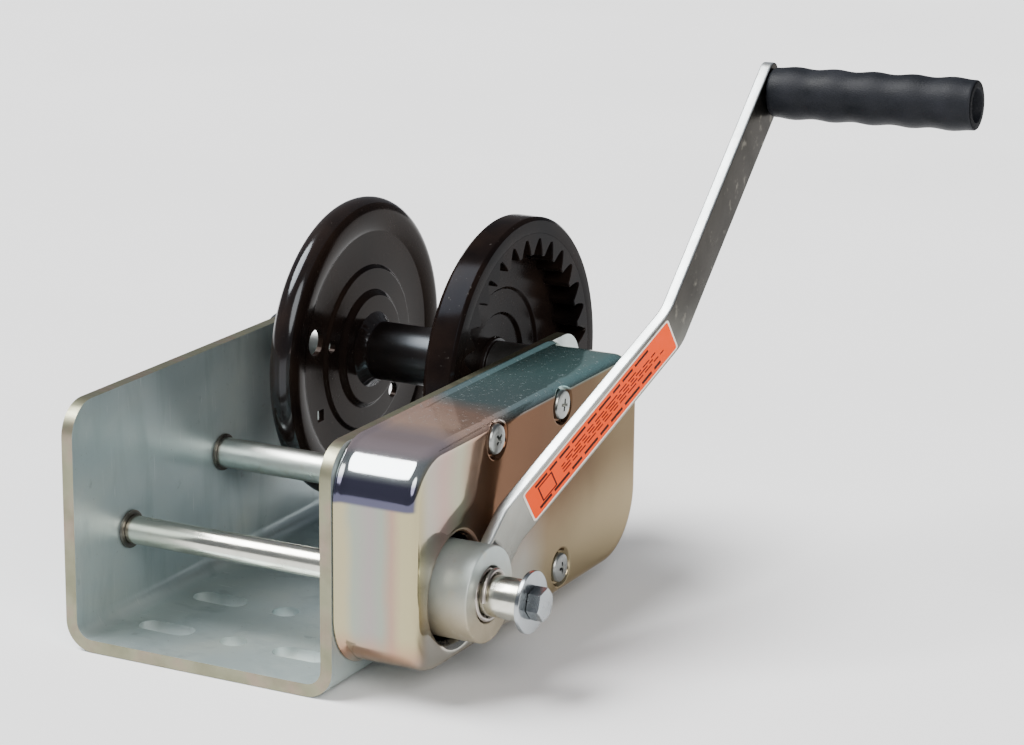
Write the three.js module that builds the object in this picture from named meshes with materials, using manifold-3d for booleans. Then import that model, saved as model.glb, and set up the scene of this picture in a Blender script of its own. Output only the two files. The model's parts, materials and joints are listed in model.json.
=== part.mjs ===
// Boat trailer winch, brake type: U frame, geared reel, gear cover, crank.
// Millimetres. X runs along the shafts toward the crank, Y to the back, Z up.
// Origin: underside of the base, middle of its width and length.
import * as THREE from 'three';
import { mergeVertices } from 'three/addons/utils/BufferGeometryUtils.js';
import Module from 'manifold-3d';

const wasm = await Module();
wasm.setup();

// ---- driving dimensions ---------------------------------------------------
const W = 150, L = 254, H = 123, T = 6.2;          // frame: width, length, height, plate
const BEND = 14.5, CORNER = 17;                    // outer bend radius, wall corner radius
const GAP = 0.3;                                   // running and assembly gap
const DRIVE = [-80.1, 48.5];                       // shaft axes as (Y, Z)
const MID = [4.6, 65.9];
const REEL = [89, 106.5];
const WALL = W / 2, IN = W / 2 - T;                // outer and inner face of the right wall

const RING = { z: 30, m: 127 / 30, tip: 60.4, root: 69, R: 80.3, x0: 48, x1: 63 };
const FINAL_PINION = 10, FINAL_GEAR = 32, MID_PINION = 12, MID_GEAR = 26;
const IDLER_T = 16, DRIVE_PINION = 12, MOD = 2.5;
const ALPHA = 25 * Math.PI / 180;                  // pressure angle of every gear

const COVER = { y0: -124.5, y1: 111.8, z0: 14.2, z1: 122.9, x: 117.2, r: 26, heel: 35, edge: 5.5, t: 2 };
const COVER_SCREWS = [[-43.8, 28], [24.6, 28], [-43.8, 112.4], [24.6, 112.4]];
const HUB = { r: 23.3, x0: 105.9, x1: 133, bore: 13.6 };
const CRANK = { tilt: 52.8 * Math.PI / 180, w: 25.4, t: 5.85, x0: 123.2, rise: 35 };
const CRANK_BENDS = [40, 169.3];                   // along the arm from the drive axis
const LEAN = 2.5 * Math.PI / 180;                  // the upper part leans in by this much
const PIN_RUN = 158.9, TIP_RUN = 13.5;             // knee to pin, pin to tip
const GRIP = { x0: 0.45, x1: 110, r: 13.3 };       // along the grip's own axis
const FLANGE = { x: -38, r: 72.2, roll: 7.9, t: 3 };
const HUB_TUBE = 15.4;
const SLOT = { w: 13.5, len: 30.5, x: 38.5, rows: [-94.3, -46, 94.3] };

// ---- shared helpers ---------------------------------------------------------
const rad = Math.PI / 180;

const mesh3 = (verts, tris) => {
  const g = new THREE.BufferGeometry();
  g.setAttribute('position', new THREE.Float32BufferAttribute(verts.flat(), 3));
  g.setIndex(tris.flat());
  return g;
};

const solid = (geometry) => {
  const bare = new THREE.BufferGeometry();
  bare.setAttribute('position', geometry.getAttribute('position').clone());
  if (geometry.index) bare.setIndex(geometry.index.clone());
  const g = mergeVertices(bare, 1e-4);
  return new wasm.Manifold(new wasm.Mesh({
    numProp: 3,
    vertProperties: new Float32Array(g.getAttribute('position').array),
    triVerts: new Uint32Array(g.index.array),
  }));
};

const geometryOf = (manifold) => {
  const m = manifold.getMesh();
  const pos = new Float32Array(m.numVert * 3);
  for (let i = 0; i < m.numVert; i++)
    for (let k = 0; k < 3; k++) pos[3 * i + k] = m.vertProperties[i * m.numProp + k];
  const g = new THREE.BufferGeometry();
  g.setAttribute('position', new THREE.BufferAttribute(pos, 3));
  g.setIndex(new THREE.BufferAttribute(new Uint32Array(m.triVerts), 1));
  return g;
};

// A closed (x, r) outline turned about an X axis through (y, z).
// An outline that starts and ends at r = 0 makes a full bar.
function turned(profile, [y, z] = [0, 0], n = 20) {
  const pts = [...profile];
  let area = 0;
  pts.forEach((p, i) => {
    const q = pts[(i + 1) % pts.length];
    area += p[0] * q[1] - q[0] * p[1];
  });
  if (area > 0) pts.reverse();
  const verts = [], rows = [];
  for (const [x, r] of pts) {
    if (r === 0) {
      verts.push([x, y, z]);
      rows.push(Array(n).fill(verts.length - 1));
      continue;
    }
    const row = [];
    for (let i = 0; i < n; i++) {
      const a = (i / n) * 2 * Math.PI;
      verts.push([x, y + r * Math.cos(a), z + r * Math.sin(a)]);
      row.push(verts.length - 1);
    }
    rows.push(row);
  }
  const tris = [];
  rows.forEach((row, i) => {
    const next = rows[(i + 1) % rows.length];
    if (pts[i][1] === 0 && pts[(i + 1) % pts.length][1] === 0) return;
    for (let k = 0; k < n; k++) {
      const k2 = (k + 1) % n;
      if (row[k] !== row[k2]) tris.push([row[k], row[k2], next[k]]);
      if (next[k] !== next[k2]) tris.push([row[k2], next[k2], next[k]]);
    }
  });
  return solid(mesh3(verts, tris));
}

const bar = (r, x0, x1, at, n = 20) => turned([[x0, 0], [x0, r], [x1, r], [x1, 0]], at, n);
const tube = (r, bore, x0, x1, at, n = 20) =>
  turned([[x0, bore], [x0, r], [x1, r], [x1, bore]], at, n);
const chamfered = (r, x0, x1, c, at, n = 20) =>
  turned([[x0, 0], [x0, r - c], [x0 + c, r], [x1 - c, r], [x1, r - c], [x1, 0]], at, n);

// A flat outline in (Y, Z) pushed along X.
const BASIS = new THREE.Matrix4().set(0, 0, 1, 0, 1, 0, 0, 0, 0, 1, 0, 0, 0, 0, 0, 1);
function plate(outline, x0, x1, [y, z] = [0, 0]) {
  const shape = new THREE.Shape(outline.map(([a, b]) => new THREE.Vector2(a, b)));
  const g = new THREE.ExtrudeGeometry(shape, { depth: x1 - x0, bevelEnabled: false });
  g.applyMatrix4(BASIS);
  g.translate(x0, y, z);
  return solid(g);
}

function arc(cx, cy, r, a0, a1, n) {
  return Array.from({ length: n + 1 }, (_, i) => {
    const a = (a0 + ((a1 - a0) * i) / n) * rad;
    return [cx + r * Math.cos(a), cy + r * Math.sin(a)];
  });
}

const roundedBox = (a0, a1, b0, b1, [r0, r1, r2, r3], n = 5) => [
  ...(r0 ? arc(a0 + r0, b0 + r0, r0, 180, 270, n) : [[a0, b0]]),
  ...(r1 ? arc(a1 - r1, b0 + r1, r1, 270, 360, n) : [[a1, b0]]),
  ...(r2 ? arc(a1 - r2, b1 - r2, r2, 0, 90, n) : [[a1, b1]]),
  ...(r3 ? arc(a0 + r3, b1 - r3, r3, 90, 180, n) : [[a0, b1]]),
];

const polygon = (n, r, turn = 0) => Array.from({ length: n }, (_, i) => {
  const a = turn * rad + (i / n) * 2 * Math.PI;
  return [r * Math.cos(a), r * Math.sin(a)];
});

// ---- gears ------------------------------------------------------------------
const inv = (a) => Math.tan(a) - a;

// Outline of an involute gear. phase is the angle of one tooth centre.
function gearOutline(z, m, root, tip, thin, phase, steps = 1) {
  const rp = (z * m) / 2, rb = rp * Math.cos(ALPHA);
  const half = (r) => {
    const a = r > rb ? Math.acos(rb / r) : 0;
    return Math.PI / (2 * z) - thin / (2 * rp) + inv(ALPHA) - inv(a);
  };
  const radii = Array.from({ length: steps + 1 }, (_, i) => root + ((tip - root) * i) / steps);
  const pts = [];
  for (let i = 0; i < z; i++) {
    const c = phase + (i * 2 * Math.PI) / z;
    for (const r of radii) pts.push([r * Math.cos(c - half(r)), r * Math.sin(c - half(r))]);
    for (const r of [...radii].reverse())
      pts.push([r * Math.cos(c + half(r)), r * Math.sin(c + half(r))]);
  }
  return pts;
}

const spur = (z, m, phase, x0, x1, at, add = 0.9) =>
  plate(gearOutline(z, m, (z * m) / 2 - 1.2 * m, (z * m) / 2 + add * m, 0.22, phase), x0, x1, at);

const angleOf = (from, to) => Math.atan2(to[1] - from[1], to[0] - from[0]);

// Tooth phase of the second gear so that it meshes with the first.
const meshPhase = (p1, z1, at1, z2, at2) => {
  const t = angleOf(at1, at2);
  return t + Math.PI - ((p1 - t) * z1) / z2 + Math.PI / z2;
};

// Where two circles about a and b cross, on the side given.
function crossing(a, ra, b, rb, side) {
  const d = Math.hypot(b[0] - a[0], b[1] - a[1]);
  const along = (ra * ra - rb * rb + d * d) / (2 * d);
  const off = side * Math.sqrt(ra * ra - along * along);
  const e = [(b[0] - a[0]) / d, (b[1] - a[1]) / d];
  return [a[0] + along * e[0] - off * e[1], a[1] + along * e[1] + off * e[0]];
}

const pitch = (z, m) => (z * m) / 2;
const IDLER = crossing(DRIVE, pitch(DRIVE_PINION + IDLER_T, MOD),
  MID, pitch(IDLER_T + MID_GEAR, MOD), 1);
const FINAL = crossing(MID, pitch(MID_PINION + FINAL_GEAR, MOD),
  REEL, pitch(RING.z - FINAL_PINION, RING.m), -1);

const DRIVE_PHASE = 0.1;
const IDLER_PHASE = meshPhase(DRIVE_PHASE, DRIVE_PINION, DRIVE, IDLER_T, IDLER);
const MID_PHASE = meshPhase(IDLER_PHASE, IDLER_T, IDLER, MID_GEAR, MID);
const FINAL_PHASE = meshPhase(MID_PHASE, MID_PINION, MID, FINAL_GEAR, FINAL);
const RING_AT = angleOf(REEL, FINAL);
const RING_PHASE = RING_AT + ((FINAL_PHASE - RING_AT) * FINAL_PINION) / RING.z;

// ---- frame --------------------------------------------------------------------
function frame() {
  const h = W / 2, i = BEND - T;
  const u = [
    ...arc(-h + BEND, BEND, BEND, 180, 270, 5), ...arc(h - BEND, BEND, BEND, 270, 360, 5),
    [h, H], [h - T, H],
    ...arc(h - BEND, BEND, i, 360, 270, 5), ...arc(-h + BEND, BEND, i, 270, 180, 5),
    [-h + T, H], [-h, H],
  ];
  const shape = new THREE.Shape(u.map(([a, b]) => new THREE.Vector2(a, b)));
  const g = new THREE.ExtrudeGeometry(shape, { depth: L, bevelEnabled: false });
  g.rotateX(Math.PI / 2);
  g.translate(0, L / 2, 0);
  let body = solid(g);
  const side = roundedBox(-L / 2, L / 2, -1, H, [0, 0, CORNER, CORNER], 5);
  body = body.intersect(plate(side, -h - 1, h + 1));
  const both = [[DRIVE, 9.1], [MID, 9.1], [REEL, 9.8]];
  for (const [at, r] of both) body = body.subtract(bar(r, -h - 1, h + 1, at, 18));
  body = body.subtract(bar(12.8, IN - 1, WALL + 1, FINAL, 16));
  body = body.subtract(bar(5.3, IN - 1, WALL + 1, IDLER, 16));
  for (const y of SLOT.rows) {
    body = body.subtract(slotCut(0, y, 0.01));
    for (const s of [-1, 1]) body = body.subtract(slotCut(s * SLOT.x, y, SLOT.len - SLOT.w));
  }
  return body;
}

function slotCut(x, y, straight) {
  const r = SLOT.w / 2, s = straight / 2;
  const pts = [...arc(x + s, y, r, -90, 90, 5), ...arc(x - s, y, r, 90, 270, 5)];
  const shape = new THREE.Shape(pts.map(([a, b]) => new THREE.Vector2(a, b)));
  const g = new THREE.ExtrudeGeometry(shape, { depth: T + 2, bevelEnabled: false });
  g.translate(0, 0, -1);
  return solid(g);
}

// Flanged bushing: body through the wall, flange on the face nearer the middle or outside.
function bushing(r, bore, flange, [x0, x1], [fx0, fx1], at) {
  const step = fx1 > x1 ? [[x0, r], [fx0, r], [fx0, flange], [fx1, flange]]
    : [[fx0, flange], [fx1, flange], [fx1, r], [x1, r]];
  const [a, b] = [Math.min(x0, fx0), Math.max(x1, fx1)];
  return turned([[a, bore], ...step, [b, bore]], at, 16);
}

// ---- gear cover -----------------------------------------------------------------
// A stack of rounded rectangles, each an inset and an x, closed into one solid.
// The lower back corner is rounder than the other three.
const coverHeel = (q, heel) => [q, heel, q, q];

function coverStack(levels) {
  const { y0, y1, z0, z1, r } = COVER;
  const verts = [], rows = [];
  for (const [inset, x] of levels) {
    const [q, heel] = [r, COVER.heel].map((c) => Math.max(c - inset, 1));
    const ring = roundedBox(y0 + inset, y1 - inset, z0 + inset, z1 - inset, coverHeel(q, heel), 4);
    rows.push(ring.map(([a, b]) => { verts.push([x, a, b]); return verts.length - 1; }));
  }
  const n = rows[0].length, tris = [];
  for (let i = 0; i + 1 < rows.length; i++)
    for (let k = 0; k < n; k++) {
      const k2 = (k + 1) % n, a = rows[i], b = rows[i + 1];
      tris.push([a[k], a[k2], b[k]], [a[k2], b[k2], b[k]]);
    }
  const first = rows[0], last = rows[rows.length - 1];
  for (let k = 1; k + 1 < n; k++) {
    tris.push([first[0], first[k + 1], first[k]]);
    tris.push([last[0], last[k], last[k + 1]]);
  }
  return solid(mesh3(verts, tris));
}

function gearCover() {
  const { x, edge, t } = COVER, x0 = WALL + GAP;
  const bend = (r, inset) => arc(0, 0, r, 0, 90, 3).map(([c, s]) =>
    [inset + edge - c - (edge - r - inset), x - edge + s]);
  const outer = coverStack([[-1.8, x0], [-1.8, x0 + 1.2], [-0.7, x0 + 2.2], [0, x0 + 3.8],
    ...bend(edge, 0).map(([i, h]) => [i, h])]);
  const inner = coverStack([[0.2, x0 - 1], [0.2, x0], [1.3, x0 + 1.6], [t, x0 + 3.6],
    ...arc(0, 0, edge - t, 0, 90, 2).map(([c, s]) => [edge - c, x - edge + s])]);
  let body = outer.subtract(inner);
  body = body.subtract(bar(29, x - 12, x + 1, DRIVE, 24));
  const lip = turned([[x - t, 31], [x, 31], [x - 0.8, 28.4], [x - 3.4, 26.6], [x - 7.5, 26],
    [x - 7.5, 28], [x - 4.2, 28.4], [x - t, 29.6]], DRIVE, 24);
  body = body.add(lip.intersect(outer));
  for (const at of COVER_SCREWS) {
    body = body.subtract(bar(9.6, x - 5, x + 1, at, 14));
    const cup = turned([[x - t, 10.6], [x, 10.6], [x - 2.3, 8.6], [x - 2.3, 3.6],
      [x - 4.3, 3.6], [x - 4.3, 9.6]], at, 14);
    body = body.add(cup.intersect(outer));
  }
  return body;
}

function coverScrew(at) {
  const x = COVER.x - 2.1;
  return turned([[x - 22, 0], [x - 22, 3], [x, 3.2], [x, 7.3], [x + 1.6, 7.5], [x + 3.4, 6],
    [x + 4.4, 0]], at, 16);
}

const coverPost = (at) =>
  turned([[WALL + 0.1, 0], [WALL + 0.1, 5.2], [COVER.x - 4.6, 5.2], [COVER.x - 4.6, 3.5],
    [COVER.x - 26, 3.5], [COVER.x - 26, 0]], at, 16);

// ---- drive shaft, brake, crank ------------------------------------------------------
function driveShaft() {
  const core = turned([[-84, 0], [-84, 6.3], [-83.2, 7.15], [119, 7.15], [119, 6.5],
    [152.4, 6.5], [152.4, 4.2], [134, 4.2], [134, 0]], DRIVE, 16);
  const groove = tube(8, 6.2, -79, -77.4, DRIVE, 16);
  return core.subtract(groove)
    .add(spur(DRIVE_PINION, MOD, DRIVE_PHASE, 78.5, 89.5, DRIVE));
}

function ratchetWheel() {
  const n = 12, tip = 25, root = 21, pts = [];
  for (let i = 0; i < n; i++) {
    const a = NOSE + 3.5 + (i * 360) / n;
    for (const [r, da] of [[root, 0], [tip, 1.5], [tip, 5], [root + 1.3, 19]])
      pts.push([r * Math.cos((a + da) * rad), r * Math.sin((a + da) * rad)]);
  }
  return plate(pts, 97.3, 102.3, DRIVE).subtract(bar(7.5, 97, 103, DRIVE, 20));
}

// The pawl hinges above the wheel; its nose stands in a tooth space.
const PAWL_AT = [DRIVE[0] + 15, DRIVE[1] + 43];
const NOSE = 112;                                  // where the nose meets the wheel, degrees

function pawl() {
  const p = (r, a) => [DRIVE[0] + r * Math.cos(a * rad), DRIVE[1] + r * Math.sin(a * rad)];
  const outline = [p(21.7, NOSE), p(27.5, NOSE + 1), p(33, NOSE - 1),
    [PAWL_AT[0] - 4.8, PAWL_AT[1] + 5], [PAWL_AT[0] + 4.8, PAWL_AT[1] - 5],
    p(31, NOSE - 26), p(26, NOSE - 12.5), p(22.4, NOSE - 4.5)];
  return plate(outline, 97.5, 102.1).add(bar(8, 97.5, 102.1, PAWL_AT, 18))
    .subtract(bar(4.3, 97, 103, PAWL_AT, 16));
}

const pawlPin = () => turned([[WALL + 0.1, 0], [WALL + 0.1, 6.5], [97.2, 6.5], [97.2, 4],
  [104.5, 4], [104.5, 0]], PAWL_AT, 16);

// Wire swept along a list of points, round section, flat ends.
function wire(path, r, sides = 6) {
  const curve = path.map((p) => new THREE.Vector3(...p));
  const verts = [], n = curve.length;
  let ref = new THREE.Vector3(1, 0, 0);
  for (let i = 0; i < n; i++) {
    const dir = curve[Math.min(i + 1, n - 1)].clone().sub(curve[Math.max(i - 1, 0)]).normalize();
    const side = ref.clone().addScaledVector(dir, -ref.dot(dir)).normalize();
    const up = dir.clone().cross(side);
    ref = side;
    for (let k = 0; k < sides; k++) {
      const a = (k / sides) * 2 * Math.PI;
      const p = curve[i].clone().addScaledVector(side, r * Math.cos(a))
        .addScaledVector(up, r * Math.sin(a));
      verts.push([p.x, p.y, p.z]);
    }
  }
  const tris = [];
  for (let i = 0; i + 1 < n; i++)
    for (let k = 0; k < sides; k++) {
      const a = i * sides + k, b = i * sides + ((k + 1) % sides);
      tris.push([a, b, a + sides], [b, b + sides, a + sides]);
    }
  for (let k = 1; k + 1 < sides; k++) {
    tris.push([0, k + 1, k]);
    tris.push([(n - 1) * sides, (n - 1) * sides + k, (n - 1) * sides + k + 1]);
  }
  return solid(mesh3(verts, tris));
}

function coil([y, z], r, x0, x1, turns, per, start = 0) {
  const n = Math.round(turns * per);
  return Array.from({ length: n + 1 }, (_, i) => {
    const a = start + (i / per) * 2 * Math.PI;
    return [x0 + ((x1 - x0) * i) / n, y + r * Math.cos(a), z + r * Math.sin(a)];
  });
}

const hubSpring = () => wire(coil(DRIVE, 11.9, 121.5, 136, 3.5, 12), 1.25);
const pawlSpring = () => wire([...coil(PAWL_AT, 8.3, 94.8, 89.8, 3, 10, 1.2)], 0.7, 5);

// Middle line of the bar as (s, x): s along the tilted arm, x along X.
function crankLine() {
  const { t, x0, rise } = CRANK, [b0, b1] = CRANK_BENDS, mid = x0 + t / 2;
  const knee = [b1, mid + rise], run = PIN_RUN + TIP_RUN;
  return [[5, mid], [b0, mid], knee,
    [knee[0] + run * Math.cos(LEAN), knee[1] - run * Math.sin(LEAN)]];
}

// From (s, x, v), with v across the arm, to the world.
const CRANK_WAY = (() => {
  const [sn, cs] = [Math.sin(CRANK.tilt), Math.cos(CRANK.tilt)];
  return ([s, x, v]) => [x, DRIVE[0] + s * sn + v * cs, DRIVE[1] + s * cs - v * sn];
})();

function crankArm() {
  const { w, t, x0, tilt } = CRANK, mid = crankLine(), ease = 9;
  const side = (off) => {
    const way = mid.slice(1).map((p, i) => Math.atan2(p[1] - mid[i][1], p[0] - mid[i][0]));
    const line = mid.map((p, i) => {
      const a = way[Math.max(i - 1, 0)], b = way[Math.min(i, way.length - 1)], m = (a + b) / 2;
      const d = off / Math.cos((b - a) / 2);
      return [p[0] - d * Math.sin(m), p[1] + d * Math.cos(m)];
    });
    return line.flatMap((p, i) => {
      if (i === 0 || i === 3) return [p];
      const step = (q) => {
        const d = Math.hypot(q[0] - p[0], q[1] - p[1]);
        return [p[0] + ((q[0] - p[0]) * ease) / d, p[1] + ((q[1] - p[1]) * ease) / d];
      };
      const [a, c] = [step(line[i - 1]), step(line[i + 1])];
      return [a, [0, 1].map((j) => 0.25 * a[j] + 0.5 * p[j] + 0.25 * c[j]), c];
    });
  };
  const outline = [...side(-t / 2), ...side(t / 2).reverse()];
  const shape = new THREE.Shape(outline.map(([s, x]) => new THREE.Vector2(s, x)));
  const g = new THREE.ExtrudeGeometry(shape, { depth: w, bevelEnabled: false });
  g.translate(0, 0, -w / 2);
  const [sn, cs] = [Math.sin(tilt), Math.cos(tilt)];
  g.applyMatrix4(new THREE.Matrix4().set(
    0, 1, 0, 0, sn, 0, cs, DRIVE[0], cs, 0, -sn, DRIVE[1], 0, 0, 0, 1));
  let body = solid(g);
  const across = roundedBox(-w / 2, w / 2, 0, mid[3][0] - 0.2, [0, 0, 8, 8], 3)
    .map(([v, s]) => [v * cs + s * sn, s * cs - v * sn]);
  body = body.intersect(plate(across, x0 - 5, x0 + CRANK.rise + t + 8, DRIVE));
  const top = HUB.x1 - 0.8, face = x0 + t;
  const weld = turned([[face - 1, HUB.r], [face - 1, 29.5], [face + 0.6, 28.2], [top, HUB.r + 0.4]],
    DRIVE, 32).intersect(plate(across, x0, 140, DRIVE));
  body = body.add(weld);
  body = body.subtract(bar(HUB.r + 0.15, x0 - 10, x0 + CRANK.rise, DRIVE, 40));
  return body.subtract(onGripAxis(bar(5.2, -t - 3, 3, [0, 0], 16)));
}

// The grip's axis stands square on the leaning upper part, at the pin.
function gripFrame() {
  const { t } = CRANK, knee = crankLine()[2];
  const [c, n] = [Math.cos(LEAN), Math.sin(LEAN)];
  const s = knee[0] + PIN_RUN * c + (t / 2) * n, x = knee[1] - PIN_RUN * n + (t / 2) * c;
  const [sn, cs] = [Math.sin(CRANK.tilt), Math.cos(CRANK.tilt)];
  const axis = new THREE.Vector3(c, n * sn, n * cs), across = new THREE.Vector3(0, cs, -sn);
  return { at: new THREE.Vector3(...CRANK_WAY([s, x, 0])), axis, across };
}

// A solid drawn about the X axis, with x = 0 on the arm's outer face, moved onto the grip's axis.
function onGripAxis(body) {
  const { at, axis, across } = gripFrame(), third = axis.clone().cross(across);
  return body.transform([axis.x, axis.y, axis.z, 0, across.x, across.y, across.z, 0,
    third.x, third.y, third.z, 0, at.x, at.y, at.z, 1]);
}

function armLabel() {
  const { t, rise } = CRANK, [, low, knee] = crankLine(), th = 0.35, lift = 0.1;
  const slope = Math.atan2(rise, knee[0] - low[0]), { s0, s1, w } = LABEL, half = w / 2;
  const face = (s) => low[1] + (s - low[0]) * Math.tan(slope) + t / 2 / Math.cos(slope) + lift;
  const rim = roundedBox(-half, half, s0, s1, [2, 2, 2, 2], 2);
  const verts = [0, th].flatMap((h) => rim.map(([v, s]) => CRANK_WAY([s, face(s) + h, v])));
  const n = rim.length, tris = [];
  for (let i = 0; i < n; i++) {
    const j = (i + 1) % n;
    tris.push([i, j, n + i], [j, n + j, n + i]);
  }
  for (let i = 1; i + 1 < n; i++) tris.push([0, i + 1, i], [n, n + i, n + i + 1]);
  return solid(flipIfInside(mesh3(verts, tris)));
}

function flipIfInside(g) {
  const p = g.getAttribute('position'), ix = g.index.array;
  let vol = 0;
  const v = (i) => new THREE.Vector3().fromBufferAttribute(p, ix[i]);
  for (let i = 0; i < ix.length; i += 3) vol += v(i).dot(v(i + 1).cross(v(i + 2)));
  if (vol < 0) for (let i = 0; i < ix.length; i += 3) [ix[i], ix[i + 1]] = [ix[i + 1], ix[i]];
  return g;
}

const LABEL = { s0: 50.5, s1: 165.5, w: 21.4 };

function handleHub() {
  const { r, x0, x1, bore } = HUB;
  return turned([[x0, 7.5], [x0, r - 0.8], [x0 + 0.8, r], [x1 - 0.8, r], [x1, r - 0.8],
    [x1, bore], [119.5, bore], [119.5, 7.5]], DRIVE, 28);
}

function grip() {
  const { x0, x1, r } = GRIP, waves = 5, n = waves * 3, len = x1 - x0;
  const outer = Array.from({ length: n + 1 }, (_, i) => {
    const u = i / n;
    return [x0 + 1 + u * (len - 2), r - 0.45 - 0.45 * Math.cos(u * waves * 2 * Math.PI) + 0.4];
  });
  return onGripAxis(turned([[x0, 5.3], [x0, r - 1], ...outer, [x1, r - 1.2], [x1, 9],
    [x1 - 9, 8.6], [x1 - 9, 5.3]], [0, 0], 18));
}

const gripPin = () => onGripAxis(turned([[-CRANK.t, 0], [-CRANK.t, 4.9], [101.3, 4.9],
  [101.3, 8], [104.3, 6.5], [104.3, 0]], [0, 0], 14));

const endBolt = () => turned([[136, 0], [136, 3.9], [156.2, 3.9], [156.2, 0]], DRIVE, 14)
  .add(plate(polygon(6, 8.1, 12), 156.1, 162.4, DRIVE)
    .intersect(turned([[156.1, 0], [156.1, 9], [161.4, 9], [162.6, 6.2], [162.6, 0]], DRIVE, 24)));

const clip = (shaft, x, at) => tube(shaft + 2.2, shaft - 0.45, x, x + 1.2, at, 12);

// ---- reel ------------------------------------------------------------------------
function reelFlange() {
  const { x, r, roll, t } = FLANGE;
  const out = arc(x, r, roll, 0, 250, 7), back = arc(x, r, roll - t, 250, 0, 4);
  const body = turned([[-27.5, HUB_TUBE + 0.15], [-27.5, 29], [-30.2, 31.5], [-30.2, 43],
    [-31.7, 44.5], [-31.7, 62.5], [-30.1, 65.5], ...out, ...back, [-33.1, 66.5], [-34.7, 63.5],
    [-34.7, 44], [-33.2, 42.5], [-33.2, 31], [-30.5, 28.5], [-30.5, HUB_TUBE + 0.15]], REEL, 32);
  const at = (rr, a) => [REEL[0] + rr * Math.cos(a * rad), REEL[1] + rr * Math.sin(a * rad)];
  let cut = bar(7, -38, -26, at(54, 164), 12).add(bar(3.2, -38, -26, at(39.5, 166), 8));
  cut = cut.add(plate(polygon(4, 4.4, 45), -38, -26, at(54, 208)));
  cut = cut.add(bar(4.2, -38, -26, at(38, 311), 8));
  return body.subtract(cut);
}

function ringGear() {
  const { R, x0, x1, root, tip, z, m } = RING;
  const body = turned([[x1, 72], [x1, R - 1.5], [x1 - 1.5, R], [x0 + 0.5, R], [x0 - 1, R - 1.5],
    [44.5, 76], [44.5, 42], [42.8, 40.5], [42.8, 28.5], [40.8, 27], [40.8, HUB_TUBE + 0.15],
    [44.3, HUB_TUBE + 0.15], [44.3, 27.5], [46.3, 29], [46.3, 41], [x0, 42.5], [x0, 72]], REEL, 36);
  const teeth = bar(74, x0 - 0.5, x1, REEL, 36)
    .subtract(plate(gearOutline(z, m, tip, root, -0.55, RING_PHASE, 2), x0 - 1, x1 + 1, REEL));
  return body.add(teeth);
}

const reelHub = () => tube(HUB_TUBE, 12.3, -33, 46, REEL, 36);

function finalShaft() {
  const m = RING.m, rp = pitch(FINAL_PINION, m);
  const teeth = plate(gearOutline(FINAL_PINION, m, rp - 1.15 * m, rp + 0.85 * m, 0.25,
    FINAL_PHASE, 2), 49.5, 62.3, FINAL);
  return teeth.add(chamfered(9, 61, 107, 0.6, FINAL, 16)).subtract(tube(10, 8, 104, 105.8, FINAL));
}

const midShaft = () => chamfered(7.85, -84, 107, 0.8, MID, 16)
  .subtract(tube(9, 6.8, -79, -77.4, MID, 16)).subtract(tube(9, 6.8, 104, 105.8, MID, 16));

const bored = (gear, r, x0, x1, at) => gear.subtract(bar(r, x0 - 1, x1 + 1, at, 16));

// ---- assembly ------------------------------------------------------------------------
const ZINC = { color: 0xb4bab5, metalness: 0.85, roughness: 0.35 };
const GOLD = { color: 0xb39d78, metalness: 0.85, roughness: 0.3 };
const STEEL = { color: 0xc3c6c8, metalness: 0.9, roughness: 0.3 };
const BLACK = { color: 0x17161a, metalness: 0.3, roughness: 0.25 };
const RUBBER = { color: 0x1c1d1e, metalness: 0, roughness: 0.8 };
const ORANGE = { color: 0xf2682c, metalness: 0, roughness: 0.6 };
const BRONZE = { color: 0x8c6d45, metalness: 0.8, roughness: 0.4 };
const LINING = { color: 0x3a342e, metalness: 0, roughness: 0.9 };

const group = new THREE.Group();
group.name = 'trailer_winch';
const put = (name, look, body) => {
  const g = geometryOf(body);
  g.computeVertexNormals();
  const mesh = new THREE.Mesh(g, new THREE.MeshStandardMaterial(look));
  mesh.name = name;
  group.add(mesh);
};

put('frame', ZINC, frame());
for (const [name, at, shaft] of [['drive', DRIVE, 7.15], ['mid', MID, 7.85]]) {
  const r = shaft + 0.15;
  put(`${name}_bushing_left`, BRONZE, bushing(8.9, r, 9.6, [-WALL, -IN], [-IN + 0.2, -IN + 1.7], at));
  put(`${name}_bushing_right`, BRONZE, bushing(8.9, r, 9.6, [IN, WALL], [IN - 1.7, IN - 0.2], at));
}
put('final_bushing', BRONZE, bushing(12.6, 9.4, 14.5, [IN, WALL], [WALL + 0.2, WALL + 2.2], FINAL));

put('drive_shaft', STEEL, driveShaft());
put('drive_clip', STEEL, clip(7.15, -78.8, DRIVE));
put('brake_plate', STEEL, tube(20, 7.3, 90, 93.7, DRIVE, 20));
put('friction_disc_inner', LINING, tube(19.4, 9, 94, 97, DRIVE, 20));
put('ratchet_wheel', STEEL, ratchetWheel());
put('friction_disc_outer', LINING, tube(19.4, 9, 102.6, 105.6, DRIVE, 20));
put('handle_hub', ZINC, handleHub());
put('hub_spring', STEEL, hubSpring());
put('end_sleeve', STEEL, tube(10, 6.8, 120, 153, DRIVE, 24));
put('end_washer', ZINC, tube(15, 4.3, 153.4, 155.8, DRIVE, 28));
put('end_bolt', STEEL, endBolt());
put('crank_arm', ZINC, crankArm());
put('arm_label', ORANGE, armLabel());
put('grip_pin', STEEL, gripPin());
put('hand_grip', RUBBER, grip());

put('pawl', STEEL, pawl());
put('pawl_pin', STEEL, pawlPin());
put('pawl_spring', STEEL, pawlSpring());

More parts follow.
